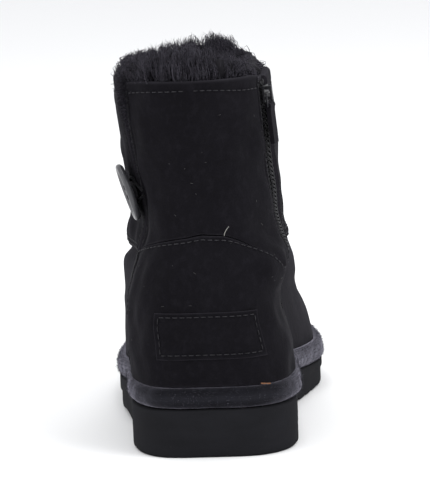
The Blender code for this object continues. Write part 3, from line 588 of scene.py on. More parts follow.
def grid_faces(row_count, column_count, closed):
    """Quads of a grid whose columns go round the boot and whose rows go up."""
    i = np.arange(row_count - 1)[:, None] * column_count
    j = np.arange(column_count if closed else column_count - 1)[None, :]
    k = (j + 1) % column_count
    return np.stack([i + j, i + k, i + k + column_count, i + j + column_count], axis=-1).reshape(-1, 4)


def band_faces(row_count, column_count):
    """Quads of a grid that closes both ways, such as a band round the boot."""
    last = (row_count - 1) * column_count
    j = np.arange(column_count)
    k = (j + 1) % column_count
    closing = np.stack([last + j, last + k, k, j], axis=1)
    return np.concatenate([grid_faces(row_count, column_count, True), closing])


def mesh_of(name, points, faces):
    """Mesh from an array of points and an array of faces of one kind."""
    mesh = bpy.data.meshes.new(name)
    points = np.ascontiguousarray(points, dtype=np.float32).reshape(-1, 3)
    faces = np.ascontiguousarray(faces, dtype=np.int32)
    mesh.vertices.add(len(points))
    mesh.vertices.foreach_set("co", points.ravel())
    mesh.loops.add(faces.size)
    mesh.loops.foreach_set("vertex_index", faces.ravel())
    mesh.polygons.add(len(faces))
    mesh.polygons.foreach_set("loop_start", np.arange(0, faces.size, faces.shape[1], dtype=np.int32))
    mesh.update(calc_edges=True)
    mesh.validate()
    return mesh


def object_of(name, shape):
    """Object in the scene from a bmesh, which is then freed."""
    mesh = bpy.data.meshes.new(name)
    shape.to_mesh(mesh)
    shape.free()
    thing = bpy.data.objects.new(name, mesh)
    bpy.context.scene.collection.objects.link(thing)
    return thing


def blank_of(name, points, faces):
    """Object in the scene from points and faces of any kind, to be carved."""
    mesh = bpy.data.meshes.new(name)
    mesh.from_pydata(np.asarray(points).tolist(), [], faces)
    mesh.update()
    thing = bpy.data.objects.new(name, mesh)
    bpy.context.scene.collection.objects.link(thing)
    return thing


def carved(blank, cutter):
    """Mesh of the blank with the cutter taken out of it. Both objects are then removed."""
    cut = blank.modifiers.new("Cut", "BOOLEAN")
    cut.object = cutter
    cut.solver = "EXACT"
    bpy.context.view_layer.update()
    graph = bpy.context.evaluated_depsgraph_get()
    mesh = bpy.data.meshes.new_from_object(blank.evaluated_get(graph))
    bpy.data.objects.remove(cutter, do_unlink=True)
    bpy.data.objects.remove(blank, do_unlink=True)
    mesh.materials.clear()
    return mesh


def finish_piece(name, mesh, material, body, nodes):
    """Object that rides on a body, with its finish and the nodes it stands for."""
    mesh.materials.append(material)
    mesh.shade_smooth()
    thing = bpy.data.objects.new(name, mesh)
    bpy.context.scene.collection.objects.link(thing)
    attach(thing, body)
    if nodes:
        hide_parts(*nodes)
    return thing


def add_piece(name, points, faces, material, slot, nodes=(), body="boot"):
    """Piece from points in the shape functions' own coordinates."""
    points = np.asarray(points, float).reshape(-1, 3) + OFFSET
    return finish_piece(name, mesh_of(name, points, faces), material, body, nodes)


def mark(thing, name, values):
    """Store a number at each vertex, for the material."""
    layer = thing.data.attributes.new(name, "FLOAT", "POINT")
    layer.data.foreach_set("value", np.ascontiguousarray(values, dtype=np.float32).ravel())


def tubes(lines, radii, sides):
    """Points and faces of round tubes along many lines: lines is (tube, step, 3), radii (tube, step)."""
    tangent = unit(np.gradient(lines, axis=1))
    count, steps = lines.shape[:2]
    aside = np.tile(np.array([0.37, 0.61, 0.70]), (count, 1))
    flat = np.abs((tangent[:, 0] * aside).sum(1)) > 0.9
    aside[flat] = (0.7, -0.7, 0.1)
    first = unit(np.cross(tangent, aside[:, None, :]))
    second = np.cross(tangent, first)
    angle = np.arange(sides) * 2 * np.pi / sides
    ring = first[:, :, None] * np.cos(angle)[:, None] + second[:, :, None] * np.sin(angle)[:, None]
    points = lines[:, :, None] + ring * radii[:, :, None, None]
    j = np.arange(sides)
    k = (j + 1) % sides
    one = np.stack([j, k, k + sides, j + sides], axis=1)
    tube = (np.arange(steps - 1)[:, None, None] * sides + one[None]).reshape(-1, 4)
    faces = (np.arange(count)[:, None, None] * steps * sides + tube[None]).reshape(-1, 4)
    return points.reshape(-1, 3), faces


def strands(roots, tips, bend, radius, steps):
    """Tapered hairs from roots to tips, bowed by bend."""
    t = np.linspace(0, 1, steps + 1)[None, :, None]
    middle = (roots + tips)[:, None] / 2 + bend[:, None]
    lines = roots[:, None] * (1 - t) ** 2 + 2 * middle * t * (1 - t) + tips[:, None] * t**2
    taper = 1 - 0.85 * np.linspace(0, 1, steps + 1) ** 1.6
    return tubes(lines, radius[:, None] * taper[None, :], HAIR_SIDES)


def mark_hairs(piece, shades, count):
    """Painted shade on hairs, darkest at their roots and none at their tips."""
    mark(piece, "painted_shade", np.tile(np.repeat(np.array(shades), HAIR_SIDES), count))


def merged(parts):
    """One array of points and one of faces from several."""
    points = []
    faces = []
    start = 0
    for some_points, some_faces in parts:
        points.append(some_points)
        faces.append(some_faces + start)
        start += len(some_points)
    return np.concatenate(points), np.concatenate(faces)


def stitch_tubes(path, normals, pitch, radius):
    """Thread stitches along a path, each a short bowed capsule that dips into the hide at both ends."""
    length = np.concatenate([[0], np.cumsum(np.linalg.norm(np.diff(path, axis=0), axis=1))])
    count = max(1, int(length[-1] / pitch))
    start = (np.arange(count) + (1 - STITCH_SHARE) / 2) * length[-1] / count
    size = STITCH_SHARE * length[-1] / count
    t = np.array([0.0, 0.06, 0.3, 0.7, 0.94, 1.0])
    at = start[:, None] + size * t[None, :]
    line = np.stack([np.interp(at, length, path[:, k]) for k in range(3)], axis=-1)
    out = np.stack([np.interp(at, length, normals[:, k]) for k in range(3)], axis=-1)
    lift = radius * (np.sin(np.pi * t) ** 0.6 * 1.2 - 0.5)
    line = line + out * lift[None, :, None]
    thick = radius * np.array([0.05, 0.75, 1.0, 1.0, 0.75, 0.05])
    return tubes(line, np.tile(thick, (count, 1)), STITCH_SIDES)


# Materials


class Nodes:
    """Short ways to build one material's node tree."""

    def __init__(self, name, color, roughness):
        self.material = bpy.data.materials.new(name)
        self.material.use_nodes = True
        self.tree = self.material.node_tree
        self.shader = self.tree.nodes["Principled BSDF"]
        self.shader.inputs["Base Color"].default_value = (*color, 1)
        self.shader.inputs["Roughness"].default_value = roughness
        self.place = self.tree.nodes.new("ShaderNodeTexCoord").outputs["Object"]

    def link(self, a, b):
        self.tree.links.new(a, b)

    def stretched(self, scale):
        """Places on the piece, scaled by a factor for each axis."""
        node = self.tree.nodes.new("ShaderNodeMapping")
        node.inputs["Scale"].default_value = scale
        self.link(self.place, node.inputs["Vector"])
        return node.outputs["Vector"]

    def noise(self, scale, detail, vector=None):
        """Soft random value, finer with a larger scale."""
        node = self.tree.nodes.new("ShaderNodeTexNoise")
        node.inputs["Scale"].default_value = scale
        node.inputs["Detail"].default_value = detail
        node.inputs["Roughness"].default_value = 0.55
        self.link(vector or self.place, node.inputs["Vector"])
        return node.outputs["Fac"]

    def ramp(self, value, stops):
        """Colour from a value, by stops of a position and a colour."""
        node = self.tree.nodes.new("ShaderNodeValToRGB")
        elements = node.color_ramp.elements
        elements[0].position, elements[0].color = stops[0][0], (*stops[0][1], 1)
        elements[1].position, elements[1].color = stops[-1][0], (*stops[-1][1], 1)
        for position, color in stops[1:-1]:
            elements.new(position).color = (*color, 1)
        self.link(value, node.inputs["Fac"])
        return node.outputs["Color"]

    def range(self, value, low, high, to_low, to_high):
        """Value moved from one span to another."""
        node = self.tree.nodes.new("ShaderNodeMapRange")
        node.inputs["From Min"].default_value = low
        node.inputs["From Max"].default_value = high
        node.inputs["To Min"].default_value = to_low
        node.inputs["To Max"].default_value = to_high
        self.link(value, node.inputs["Value"])
        return node.outputs["Result"]

    def mix(self, share, a, b):
        """Colour between a and b."""
        node = self.tree.nodes.new("ShaderNodeMix")
        node.data_type = "RGBA"
        for socket, value in ((node.inputs[0], share), (node.inputs[6], a), (node.inputs[7], b)):
            if isinstance(value, bpy.types.NodeSocket):
                self.link(value, socket)
            elif isinstance(value, tuple):
                socket.default_value = (*value, 1)
            else:
                socket.default_value = value
        return node.outputs[2]

    def attribute(self, name):
        """Number stored at the vertices by mark."""
        node = self.tree.nodes.new("ShaderNodeAttribute")
        node.attribute_name = name
        return node.outputs["Fac"]

    def bump(self, value, distance, strength, below=None):
        """Fine relief, over coarser relief where that is given."""
        node = self.tree.nodes.new("ShaderNodeBump")
        node.inputs["Distance"].default_value = distance
        node.inputs["Strength"].default_value = strength
        self.link(value, node.inputs["Height"])
        if below:
            self.link(below, node.inputs["Normal"])
        self.link(node.outputs["Normal"], self.shader.inputs["Normal"])
        return node.outputs["Normal"]

    def color(self, socket):
        self.link(socket, self.shader.inputs["Base Color"])

    def rough(self, socket):
        self.link(socket, self.shader.inputs["Roughness"])

    def sheen(self, weight, roughness, tint):
        self.shader.inputs["Sheen Weight"].default_value = weight
        self.shader.inputs["Sheen Roughness"].default_value = roughness
        self.shader.inputs["Sheen Tint"].default_value = (*tint, 1)


def suede(name, dark, light, sheen, edge):
    """Brushed suede: cloudy nap, fine fibres, and lighter edges, partly rubbed suede and partly painted
    highlight.
    """
    nodes = Nodes(name, dark, 0.95)
    clouds = nodes.noise(38, 4)
    nap = nodes.noise(330, 5, nodes.stretched((1.0, 1.0, 0.8)))
    fibres = nodes.noise(1500, 3)
    base = nodes.ramp(clouds, [(0.25, dark), (0.85, light)])
    lighter = tuple(c * 1.9 for c in light)
    darker = tuple(c * 0.55 for c in dark)
    base = nodes.mix(nodes.range(nap, 0.48, 0.75, 0.0, 0.30), base, lighter)
    base = nodes.mix(nodes.range(fibres, 0.55, 0.30, 0.0, 0.35), base, darker)
    # Towards the edge colour where each piece marks it: rubbed edges and painted highlight
    base = nodes.mix(nodes.attribute("edge"), base, edge)
    nodes.color(base)
    nodes.shader.inputs["Specular IOR Level"].default_value = 0.06
    nodes.sheen(sheen, 0.36, (0.62, 0.60, 0.72))
    first = nodes.bump(nap, 0.0006, 0.35)
    nodes.bump(fibres, 0.00018, 0.7, first)
    return nodes.material


def wool(name, dark, light, sheen):
    """Curly pile: clumps, fine fibres, and painted shade towards the roots and in the hollows."""
    nodes = Nodes(name, dark, 0.9)
    clumps = nodes.noise(150, 3)
    fine = nodes.noise(900, 2)
    base = nodes.ramp(clumps, [(0.42, dark), (0.62, light)])
    base = nodes.mix(nodes.range(fine, 0.5, 0.8, 0.0, 0.5), base, tuple(c * 1.7 for c in light))
    # Darker where marked: painted shade at the hairs' roots and in the pile's hollows
    base = nodes.mix(nodes.attribute("painted_shade"), base, tuple(c * 0.35 for c in dark))
    nodes.color(base)
    nodes.shader.inputs["Specular IOR Level"].default_value = 0.12
    nodes.sheen(sheen, 0.4, (0.70, 0.66, 0.80))
    nodes.bump(clumps, 0.0012, 0.5)
    return nodes.material


def foam_rubber(name):
    """Matt moulded foam with fine cells, faint flow marks and a little dust."""
    dark = (0.0104, 0.0104, 0.0120)
    nodes = Nodes(name, dark, 0.7)
    cells = nodes.noise(1300, 4)
    flow = nodes.noise(45, 5, nodes.stretched((1.0, 1.0, 3.5)))
    dust = nodes.noise(420, 6)
    base = nodes.ramp(flow, [(0.3, dark), (0.75, (0.0142, 0.0142, 0.0166))])
    base = nodes.mix(nodes.range(dust, 0.66, 0.80, 0.0, 0.30), base, (0.034, 0.033, 0.032))
    nodes.color(base)
    nodes.rough(nodes.range(flow, 0.3, 0.7, 0.86, 0.98))
    nodes.shader.inputs["Specular IOR Level"].default_value = 0.05
    first = nodes.bump(cells, 0.00022, 0.5)
    nodes.bump(flow, 0.0005, 0.25, first)
    return nodes.material


def polished(name, color, roughness, metallic, wear):
    """Satin plastic or metal with faint rubbed marks."""
    nodes = Nodes(name, color, roughness)
    marks = nodes.noise(650, 4, nodes.stretched((1.0, 1.0, 5.0)))
    clouds = nodes.noise(120, 3)
    base = nodes.mix(nodes.range(clouds, 0.4, 0.7, 0.0, 0.5), color, wear)
    nodes.color(base)
    nodes.rough(nodes.range(marks, 0.3, 0.7, roughness * 0.75, roughness * 1.35))
    nodes.shader.inputs["Metallic"].default_value = metallic
    nodes.bump(marks, 0.00006, 0.5)
    return nodes.material


def spun(name, dark, light, scale=900):
    """Thread or tape: twisted fibres."""
    nodes = Nodes(name, dark, 0.75)
    twist = nodes.noise(scale, 3, nodes.stretched((1.0, 1.0, 0.4)))
    nodes.color(nodes.ramp(twist, [(0.35, dark), (0.7, light)]))
    nodes.shader.inputs["Specular IOR Level"].default_value = 0.2
    nodes.sheen(0.1, 0.4, (0.7, 0.7, 0.75))
    nodes.bump(twist, 0.00025, 0.6)
    return nodes.material


LOOKS = {
    # suede: dark, light, sheen, and the edges' colour, rubbed suede with painted highlight
    "suede_black": (suede, (0.0046, 0.0042, 0.0055), (0.0080, 0.0074, 0.0096), 0.03, (0.030, 0.028, 0.034)),
    "suede_vamp": (suede, (0.0066, 0.0060, 0.0077), (0.0108, 0.0101, 0.0128), 0.04, (0.034, 0.032, 0.038)),
    "suede_binding": (suede, (0.0046, 0.0046, 0.0060), (0.0100, 0.0100, 0.0132), 0.66, (0.036, 0.036, 0.045)),
    # wool: dark, light, sheen
    "wool_black": (wool, (0.0052, 0.0046, 0.0066), (0.0140, 0.0125, 0.0176), 0.26),
    # darker, duller copy of the wool for the core under the hairs: painted shade deep in the pile
    "wool_core_painted_shade": (wool, (0.0040, 0.0036, 0.0050), (0.0080, 0.0072, 0.0096), 0.05),
    "foam": (foam_rubber,),
    # plastic and metal: colour, roughness, metallic, wear
    "button_plastic": (polished, (0.040, 0.040, 0.044), 0.34, 0.0, (0.056, 0.056, 0.060)),
    "dark_metal": (polished, (0.026, 0.026, 0.029), 0.34, 1.0, (0.055, 0.055, 0.060)),
    # fibres: dark, light, and a scale where it isn't the usual one
    "fluff": (spun, (0.16, 0.16, 0.15), (0.34, 0.33, 0.30)),
    "dust": (spun, (0.030, 0.029, 0.030), (0.075, 0.073, 0.072)),
    "crumb": (spun, (0.10, 0.045, 0.022), (0.26, 0.12, 0.06)),
    "thread_black": (spun, (0.0045, 0.0045, 0.0054), (0.0150, 0.0145, 0.0170)),
    "thread_grey": (spun, (0.0125, 0.0121, 0.0143), (0.0350, 0.0337, 0.0378)),
    "thread_dull": (spun, (0.0090, 0.0088, 0.0105), (0.0260, 0.0250, 0.0285)),
    "zip_coil": (spun, (0.0042, 0.0042, 0.0050), (0.0160, 0.0156, 0.0175), 500),
}
looks = {}


def look(name):
    """A material by its name, made when it is first used."""
    if name not in looks:
        maker, *values = LOOKS[name]
        looks[name] = maker(name, *values)
    return looks[name]


# Panels


class Panel:
    """A piece of suede on the upper: its edges, its place on it and its rows of stitches."""

    def __init__(self, first, last, low, high, width, height, out, thickness, rounding=0.0011):
        self.first = first
        self.last = last
        self.low = low
        self.high = high
        self.width = width
        self.height = height
        self.out = out
        self.thickness = thickness
        self.rounding = rounding
        self.seams = ()

    def turn_level(self, s, t):
        """Turn and level at shares s along the panel and t up it."""
        u = self.first + (self.last - self.first) * s
        return u, self.low(u) * (1 - t) + self.high(u) * t

    def steps(self, length, count):
        """Shares along a side, closer together over its rounded edges."""
        near = np.array([0.0, 0.10, 0.28, 0.55, 1.0]) * self.rounding / length
        middle = np.linspace(near[-1], 1 - near[-1], count)
        return np.concatenate([near[:-1], middle, 1 - near[:-1][::-1]])

    def seam_share(self, edge, distance):
        """Shares s and t of a row of stitches beside an edge."""
        margin_s = distance / self.width
        margin_t = distance / self.height
        count = 240
        along = np.linspace(0, 1, count)
        if edge in ("low", "high"):
            s = margin_s + along * (1 - 2 * margin_s)
            t = np.full(count, margin_t if edge == "low" else 1 - margin_t)
        else:
            s = np.full(count, margin_s if edge == "first" else 1 - margin_s)
            t = margin_t + along * (1 - 2 * margin_t)
        return s, t

    def build(self, name, columns, row_count, material, slot, nodes, uneven=0.0004):
        """Piece with rounded edges, dents along its rows of stitches and a slightly uneven face."""
        s = self.steps(self.width, columns)
        t = self.steps(self.height, row_count)
        u, v = self.turn_level(np.pad(s, 1, mode="edge")[None, :], np.pad(t, 1, mode="edge")[:, None])
        inside_s = np.minimum(s, 1 - s) * self.width
        inside_t = np.minimum(t, 1 - t) * self.height
        near = np.minimum(inside_s[None, :], inside_t[:, None])
        share = np.clip(near / self.rounding, 0, 1)
        lift = self.thickness * (EDGE_SHARE + (1 - EDGE_SHARE) * np.sqrt(1 - (1 - share) ** 2))
        away = {
            "low": t[:, None] * self.height,
            "high": (1 - t)[:, None] * self.height,
            "first": s[None, :] * self.width,
            "last": (1 - s)[None, :] * self.width,
        }
        for edge, distance in self.seams:
            lift = lift - SEAM_DENT * np.exp(-(((away[edge] - distance) / SEAM_DENT_WIDTH) ** 2)) * share
        full = np.pad(lift, 1, constant_values=-EDGE_TUCK - self.out)
        points = surface(u, v, self.out + full)
        uneven_by = waves(points, 0.018, 5) * uneven * np.pad(share, 1)
        points = points + normal_at(u, v) * uneven_by[..., None]
        piece = add_piece(name, points, grid_faces(*points.shape[:2], False), material, slot, nodes)
        # Lighter band along the edges: partly rubbed suede, partly painted highlight
        rubbed_and_highlit = np.clip(1 - near / (self.rounding * RUBBED_AND_HIGHLIT_SHARE), 0, 1) ** 1.5
        mark(piece, "edge", np.pad(rubbed_and_highlit, 1, mode="edge") * 0.55)

    def stitches(self, settings, *edges):
        """Threads of the rows beside the named edges."""
        parts = []
        for edge, distance in self.seams:
            if edge not in edges:
                continue
            s, t = self.seam_share(edge, distance)
            u, v = self.turn_level(s, t)
            path = surface(u, v, self.out + self.thickness + STITCH_LIFT)
            threads = stitch_tubes(path, normal_at(u, v), settings.stitch_length, settings.thread_radius)
            parts.append(threads)
        return merged(parts)


def flat_level(value):
    """Edge that stays at one level."""
    return lambda u: np.full(np.shape(u), value)


def panels():
    """All panels by name, with their rows of stitches."""
    shaft_girth = girth(0.85)
    seam = 0.0006 / BACK_HEIGHT
    low = level_at(BINDING_HEIGHT + CLEARANCE * 2)
    counter = Panel(
        *counter_turns, flat_level(low), counter_edge,
        (counter_turns[1] - counter_turns[0]) * girth(0.3), COUNTER_HEIGHT - BINDING_HEIGHT,
        PANEL_CLEARANCE, COUNTER_THICKNESS,
    )
    back = Panel(
        *counter_turns, lambda u: counter_edge(u) + seam, flat_level(1.0),
        (counter_turns[1] - counter_turns[0]) * shaft_girth, BACK_HEIGHT - COUNTER_HEIGHT,
        PANEL_CLEARANCE, PANEL_THICKNESS,
    )
    front = Panel(
        zip_turns[1], slit_turns[0], vamp_edge, flat_level(1.0),
        (slit_turns[0] - zip_turns[1]) * shaft_girth, 0.068,
        PANEL_CLEARANCE, PANEL_THICKNESS,
    )
    middle = level_at(PATCH_CENTRE)
    lift = PANEL_CLEARANCE + COUNTER_THICKNESS - 0.0001
    inner, _ = step_from(0.0, middle, PATCH_WIDTH / 2 + PATCH_ASIDE, 0, lift + PATCH_THICKNESS)
    outer, _ = step_from(0.0, middle, PATCH_ASIDE - PATCH_WIDTH / 2, 0, lift + PATCH_THICKNESS)
    _, high = step_from(0.0, middle, 0, PATCH_HEIGHT / 2)
    _, under = step_from(0.0, middle, 0, -PATCH_HEIGHT / 2)
    patch = Panel(
        outer, inner, flat_level(under), flat_level(high),
        PATCH_WIDTH, PATCH_HEIGHT,
        lift, PATCH_THICKNESS, PATCH_ROUNDING,
    )
    made = {"counter": counter, "back": back, "front": front, "patch": patch}
    for name, panel in made.items():
        panel.seams = SEAMS[name]
    return made


class BootLook(bpy.types.PropertyGroup):
    """What can be set by hand in the sidebar."""

    fold_depth: bpy.props.FloatProperty(
        name="Fold depth",
        description="How deep the soft folds of the suede are, as a share of the usual depth",
        default=1.0,
        min=0.0,
        max=2.0,
        subtype="FACTOR",
    )
    fur_length: bpy.props.FloatProperty(
        name="Fur length",
        description="Length of the hairs of the collar's fleece",
        default=0.0080,
        min=0.002,
        max=0.03,
        unit="LENGTH",
    )
    fur_strands: bpy.props.IntProperty(
        name="Fur strands",
        description="Number of hairs in each half of the collar's fleece",
        default=9600,
        min=100,
        max=11000,
    )
    stitch_length: bpy.props.FloatProperty(
        name="Stitch pitch",
        description="Length from the start of one stitch to the start of the next",
        default=0.0031,
        min=0.001,
        max=0.01,
        unit="LENGTH",
    )
    thread_radius: bpy.props.FloatProperty(
        name="Thread radius",
        description="Radius of the thread of the seams",
        default=0.00021,
        min=0.0001,
        max=0.001,
        unit="LENGTH",
    )
    seed: bpy.props.IntProperty(
        name="Seed",
        description="Start of the random draws for the fleece and the fluff",
        default=11,
        min=0,
    )


class BOOT_OT_upper(bpy.types.Operator):
    """Vamp and shaft wall, with the slit left open, and the pile inside"""

    bl_idname = "boot.upper"
    bl_label = "Upper"

    def execute(self, context):
        u = np.sort(np.concatenate([np.linspace(0, 1, 300, endpoint=False), slit_turns, zip_turns]))
        v = np.sort(np.concatenate([np.linspace(0, 1, 96), [slit_bottom]]))
        columns = len(u)
        outer = surface(u[None, :], v[:, None])
        inner = surface(u[None, :], v[:, None], -UPPER_WALL)
        slit_column = int(np.searchsorted(u, slit_turns[0] - 1e-9))
        faces = grid_faces(len(v), columns, True)
        row_of = np.repeat(np.arange(len(v) - 1), columns)
        column_of = np.tile(np.arange(columns), len(v) - 1)
        in_slit = (column_of >= slit_column) & (u[column_of] < slit_turns[1] - 1e-9)
        kept = faces[~(in_slit & (v[row_of] > slit_bottom - 1e-9))]
        start = outer.reshape(-1, 3).shape[0]
        rim = self.edge_faces(kept, start)
        everything = np.concatenate([kept, kept[:, ::-1] + start, rim])
        points = np.concatenate([outer.reshape(-1, 3), inner.reshape(-1, 3)])
        piece = add_piece("suede_upper", points, everything, look("suede_vamp"), "suede", ("upper",))
        # Lighter towards the rim: partly rubbed edge, partly painted highlight
        near_rim = np.clip((v - 0.985) / 0.015, 0, 1)[:, None] * np.ones((1, columns))
        mark(piece, "edge", np.concatenate([near_rim.ravel(), near_rim.ravel()]) * 0.4)
        self.lining()
        return {"FINISHED"}

    def edge_faces(self, faces, start):
        """Quads that join the two skins along every open edge."""
        a = faces.ravel()
        b = np.roll(faces, -1, axis=1).ravel()
        edges = {}
        for p, q in zip(a.tolist(), b.tolist()):
            if (q, p) in edges:
                del edges[(q, p)]
            else:
                edges[(p, q)] = True
        pairs = np.array(list(edges))
        p = pairs[:, 0]
        q = pairs[:, 1]
        return np.stack([q, p, p + start, q + start], axis=1)

    def lining(self):
        """Short curly pile on the inside of the wall and on the footbed."""
        u = np.linspace(0, 1, 220, endpoint=False)
        v = np.linspace(0.03, 0.90, 90)
        flat = surface(u[None, :], v[:, None], -UPPER_WALL, False)
        curls = waves(flat, 0.007, 21) * 0.0007 + waves(flat, 0.003, 22) * 0.0004
        points = surface(u[None, :], v[:, None], -UPPER_WALL - PILE_DEPTH + curls)
        faces = grid_faces(len(v), len(u), True)[:, ::-1]
        piece = add_piece("lining_pile", points, faces, look("wool_black"), "fleece")
        # Painted shade in the low places between the curls
        mark(piece, "painted_shade", np.clip(0.35 - curls * 300, 0, 1))

        inset = np.concatenate([[0.0], np.linspace(0.02, 1.0, 40)])
        inside = -(UPPER_WALL + CLEARANCE * 3)
        edge = surface(u, level_at(INSOLE_THICKNESS - 0.001), inside, False)

        # Middle line of the foot, on which the footbed's rings close
        spine = edge.copy()
        spine[:, 0] = np.interp(edge[:, 1], [0.02, 0.15, 0.25], [0.0, -0.003, -0.002])
        spine[:, 1] = np.clip(edge[:, 1], 0.030, 0.232)
        rings = edge[None] * (1 - inset[:, None, None]) + spine[None] * inset[:, None, None]
        crown = sole_top(rings[..., 1]) + CLEARANCE + INSOLE_THICKNESS
        bumps = waves(rings, 0.008, 31) * 0.0006 + waves(rings, 0.0035, 32) * 0.0004
        rings[..., 2] = crown + bumps - 0.0018 * (1 - ease(inset / 0.12))[:, None]
        faces = grid_faces(len(inset), len(u), True)
        footbed = add_piece("footbed_pile", rings, faces, look("wool_black"), "fleece", ("insole",))
        # Painted shade in the low places between the bumps
        mark(footbed, "painted_shade", np.clip(0.3 - bumps * 350, 0, 1))


class BOOT_OT_panels(bpy.types.Operator):
    """Counter, patch and the two shaft panels, with their rows of stitches"""

    bl_idname = "boot.panels"
    bl_label = "Panels"

    def execute(self, context):
        settings = context.scene.boot_look
        all_panels = panels()
        black = look("suede_black")
        all_panels["counter"].build("counter_suede", 190, 90, black, "suede", ("heel_counter",))
        all_panels["back"].build("back_panel_suede", 130, 80, black, "suede", ("back_panel",), 0.0005)
        all_panels["front"].build("front_panel_suede", 200, 80, black, "suede", ("front_panel",), 0.0006)
        all_panels["patch"].build("patch_suede", 60, 30, black, "suede", ("heel_patch",), 0.00015)
        for name, sources, edges, finish in STITCHES:
            parts = [all_panels[source].stitches(settings, *edges) for source in sources]
            add_piece(name, *merged(parts), look(finish), "thread")
        whips = [self.whip(all_panels["counter"], side) for side in (0, 1)]
        add_piece("counter_whips", *merged(whips), look("thread_grey"), "thread")
        self.lint(settings)
        return {"FINISHED"}

    def whip(self, counter, side):
        """Slanted stitches over the upper part of the counter's front edge, on one side."""
        u = counter_turns[side]
        top = float(counter_edge(np.array([u]))[0])
        v = np.linspace(top - WHIP_BOTTOM, top - WHIP_TOP, WHIP_COUNT)[:, None]
        share = np.linspace(-1, 1, 6)[None, :]
        reach = WHIP_REACH if side else -WHIP_REACH
        rise = np.array([0.0001, 0.0005, 0.0002, -0.0006]) + counter.out + counter.thickness
        high = np.interp(share, [-1.0, 0.0, 0.3, 1.0], rise)
        line = surface(u + reach * share, v + WHIP_SLANT * share, high)
        return tubes(line, np.full(line.shape[:2], WHIP_RADIUS), STITCH_SIDES)

    def lint(self, settings):
        """A fallen fibre at the top seam, a crumb at the binding and a few bits of fluff."""
        draw = np.random.default_rng(settings.seed + 4)
        steps = 5
        t = np.linspace(0, 1, steps)[None, :]
        fibre = surface(0.0275 + 0.0080 * t**1.5, level_at(0.0782) + 0.030 * t, 0.0024 + 0.0008 * t)
        crumb = surface(0.038 + 0.007 * t, binding_top + 0.010 - 0.004 * t, 0.0030 + 0.0006 * t)
        add_piece("lint_fibre", *tubes(fibre, np.full((1, steps), 0.00016), 6), look("fluff"), "thread")
        add_piece("lint_crumb", *tubes(crumb, np.full((1, steps), 0.00030), 6), look("crumb"), "thread")
        column = (FLUFF_COUNT, 1)
        u = draw.uniform(-0.09, 0.14, column)
        v = draw.uniform(0.15, 0.93, column)
        turn = u + draw.normal(0, 0.0016, column) * t
        bits = surface(turn, v + draw.normal(0, 0.004, column) * t, 0.0027)
        add_piece("lint_bits", *tubes(bits, np.full(bits.shape[:2], 0.00008), 5), look("dust"), "thread")


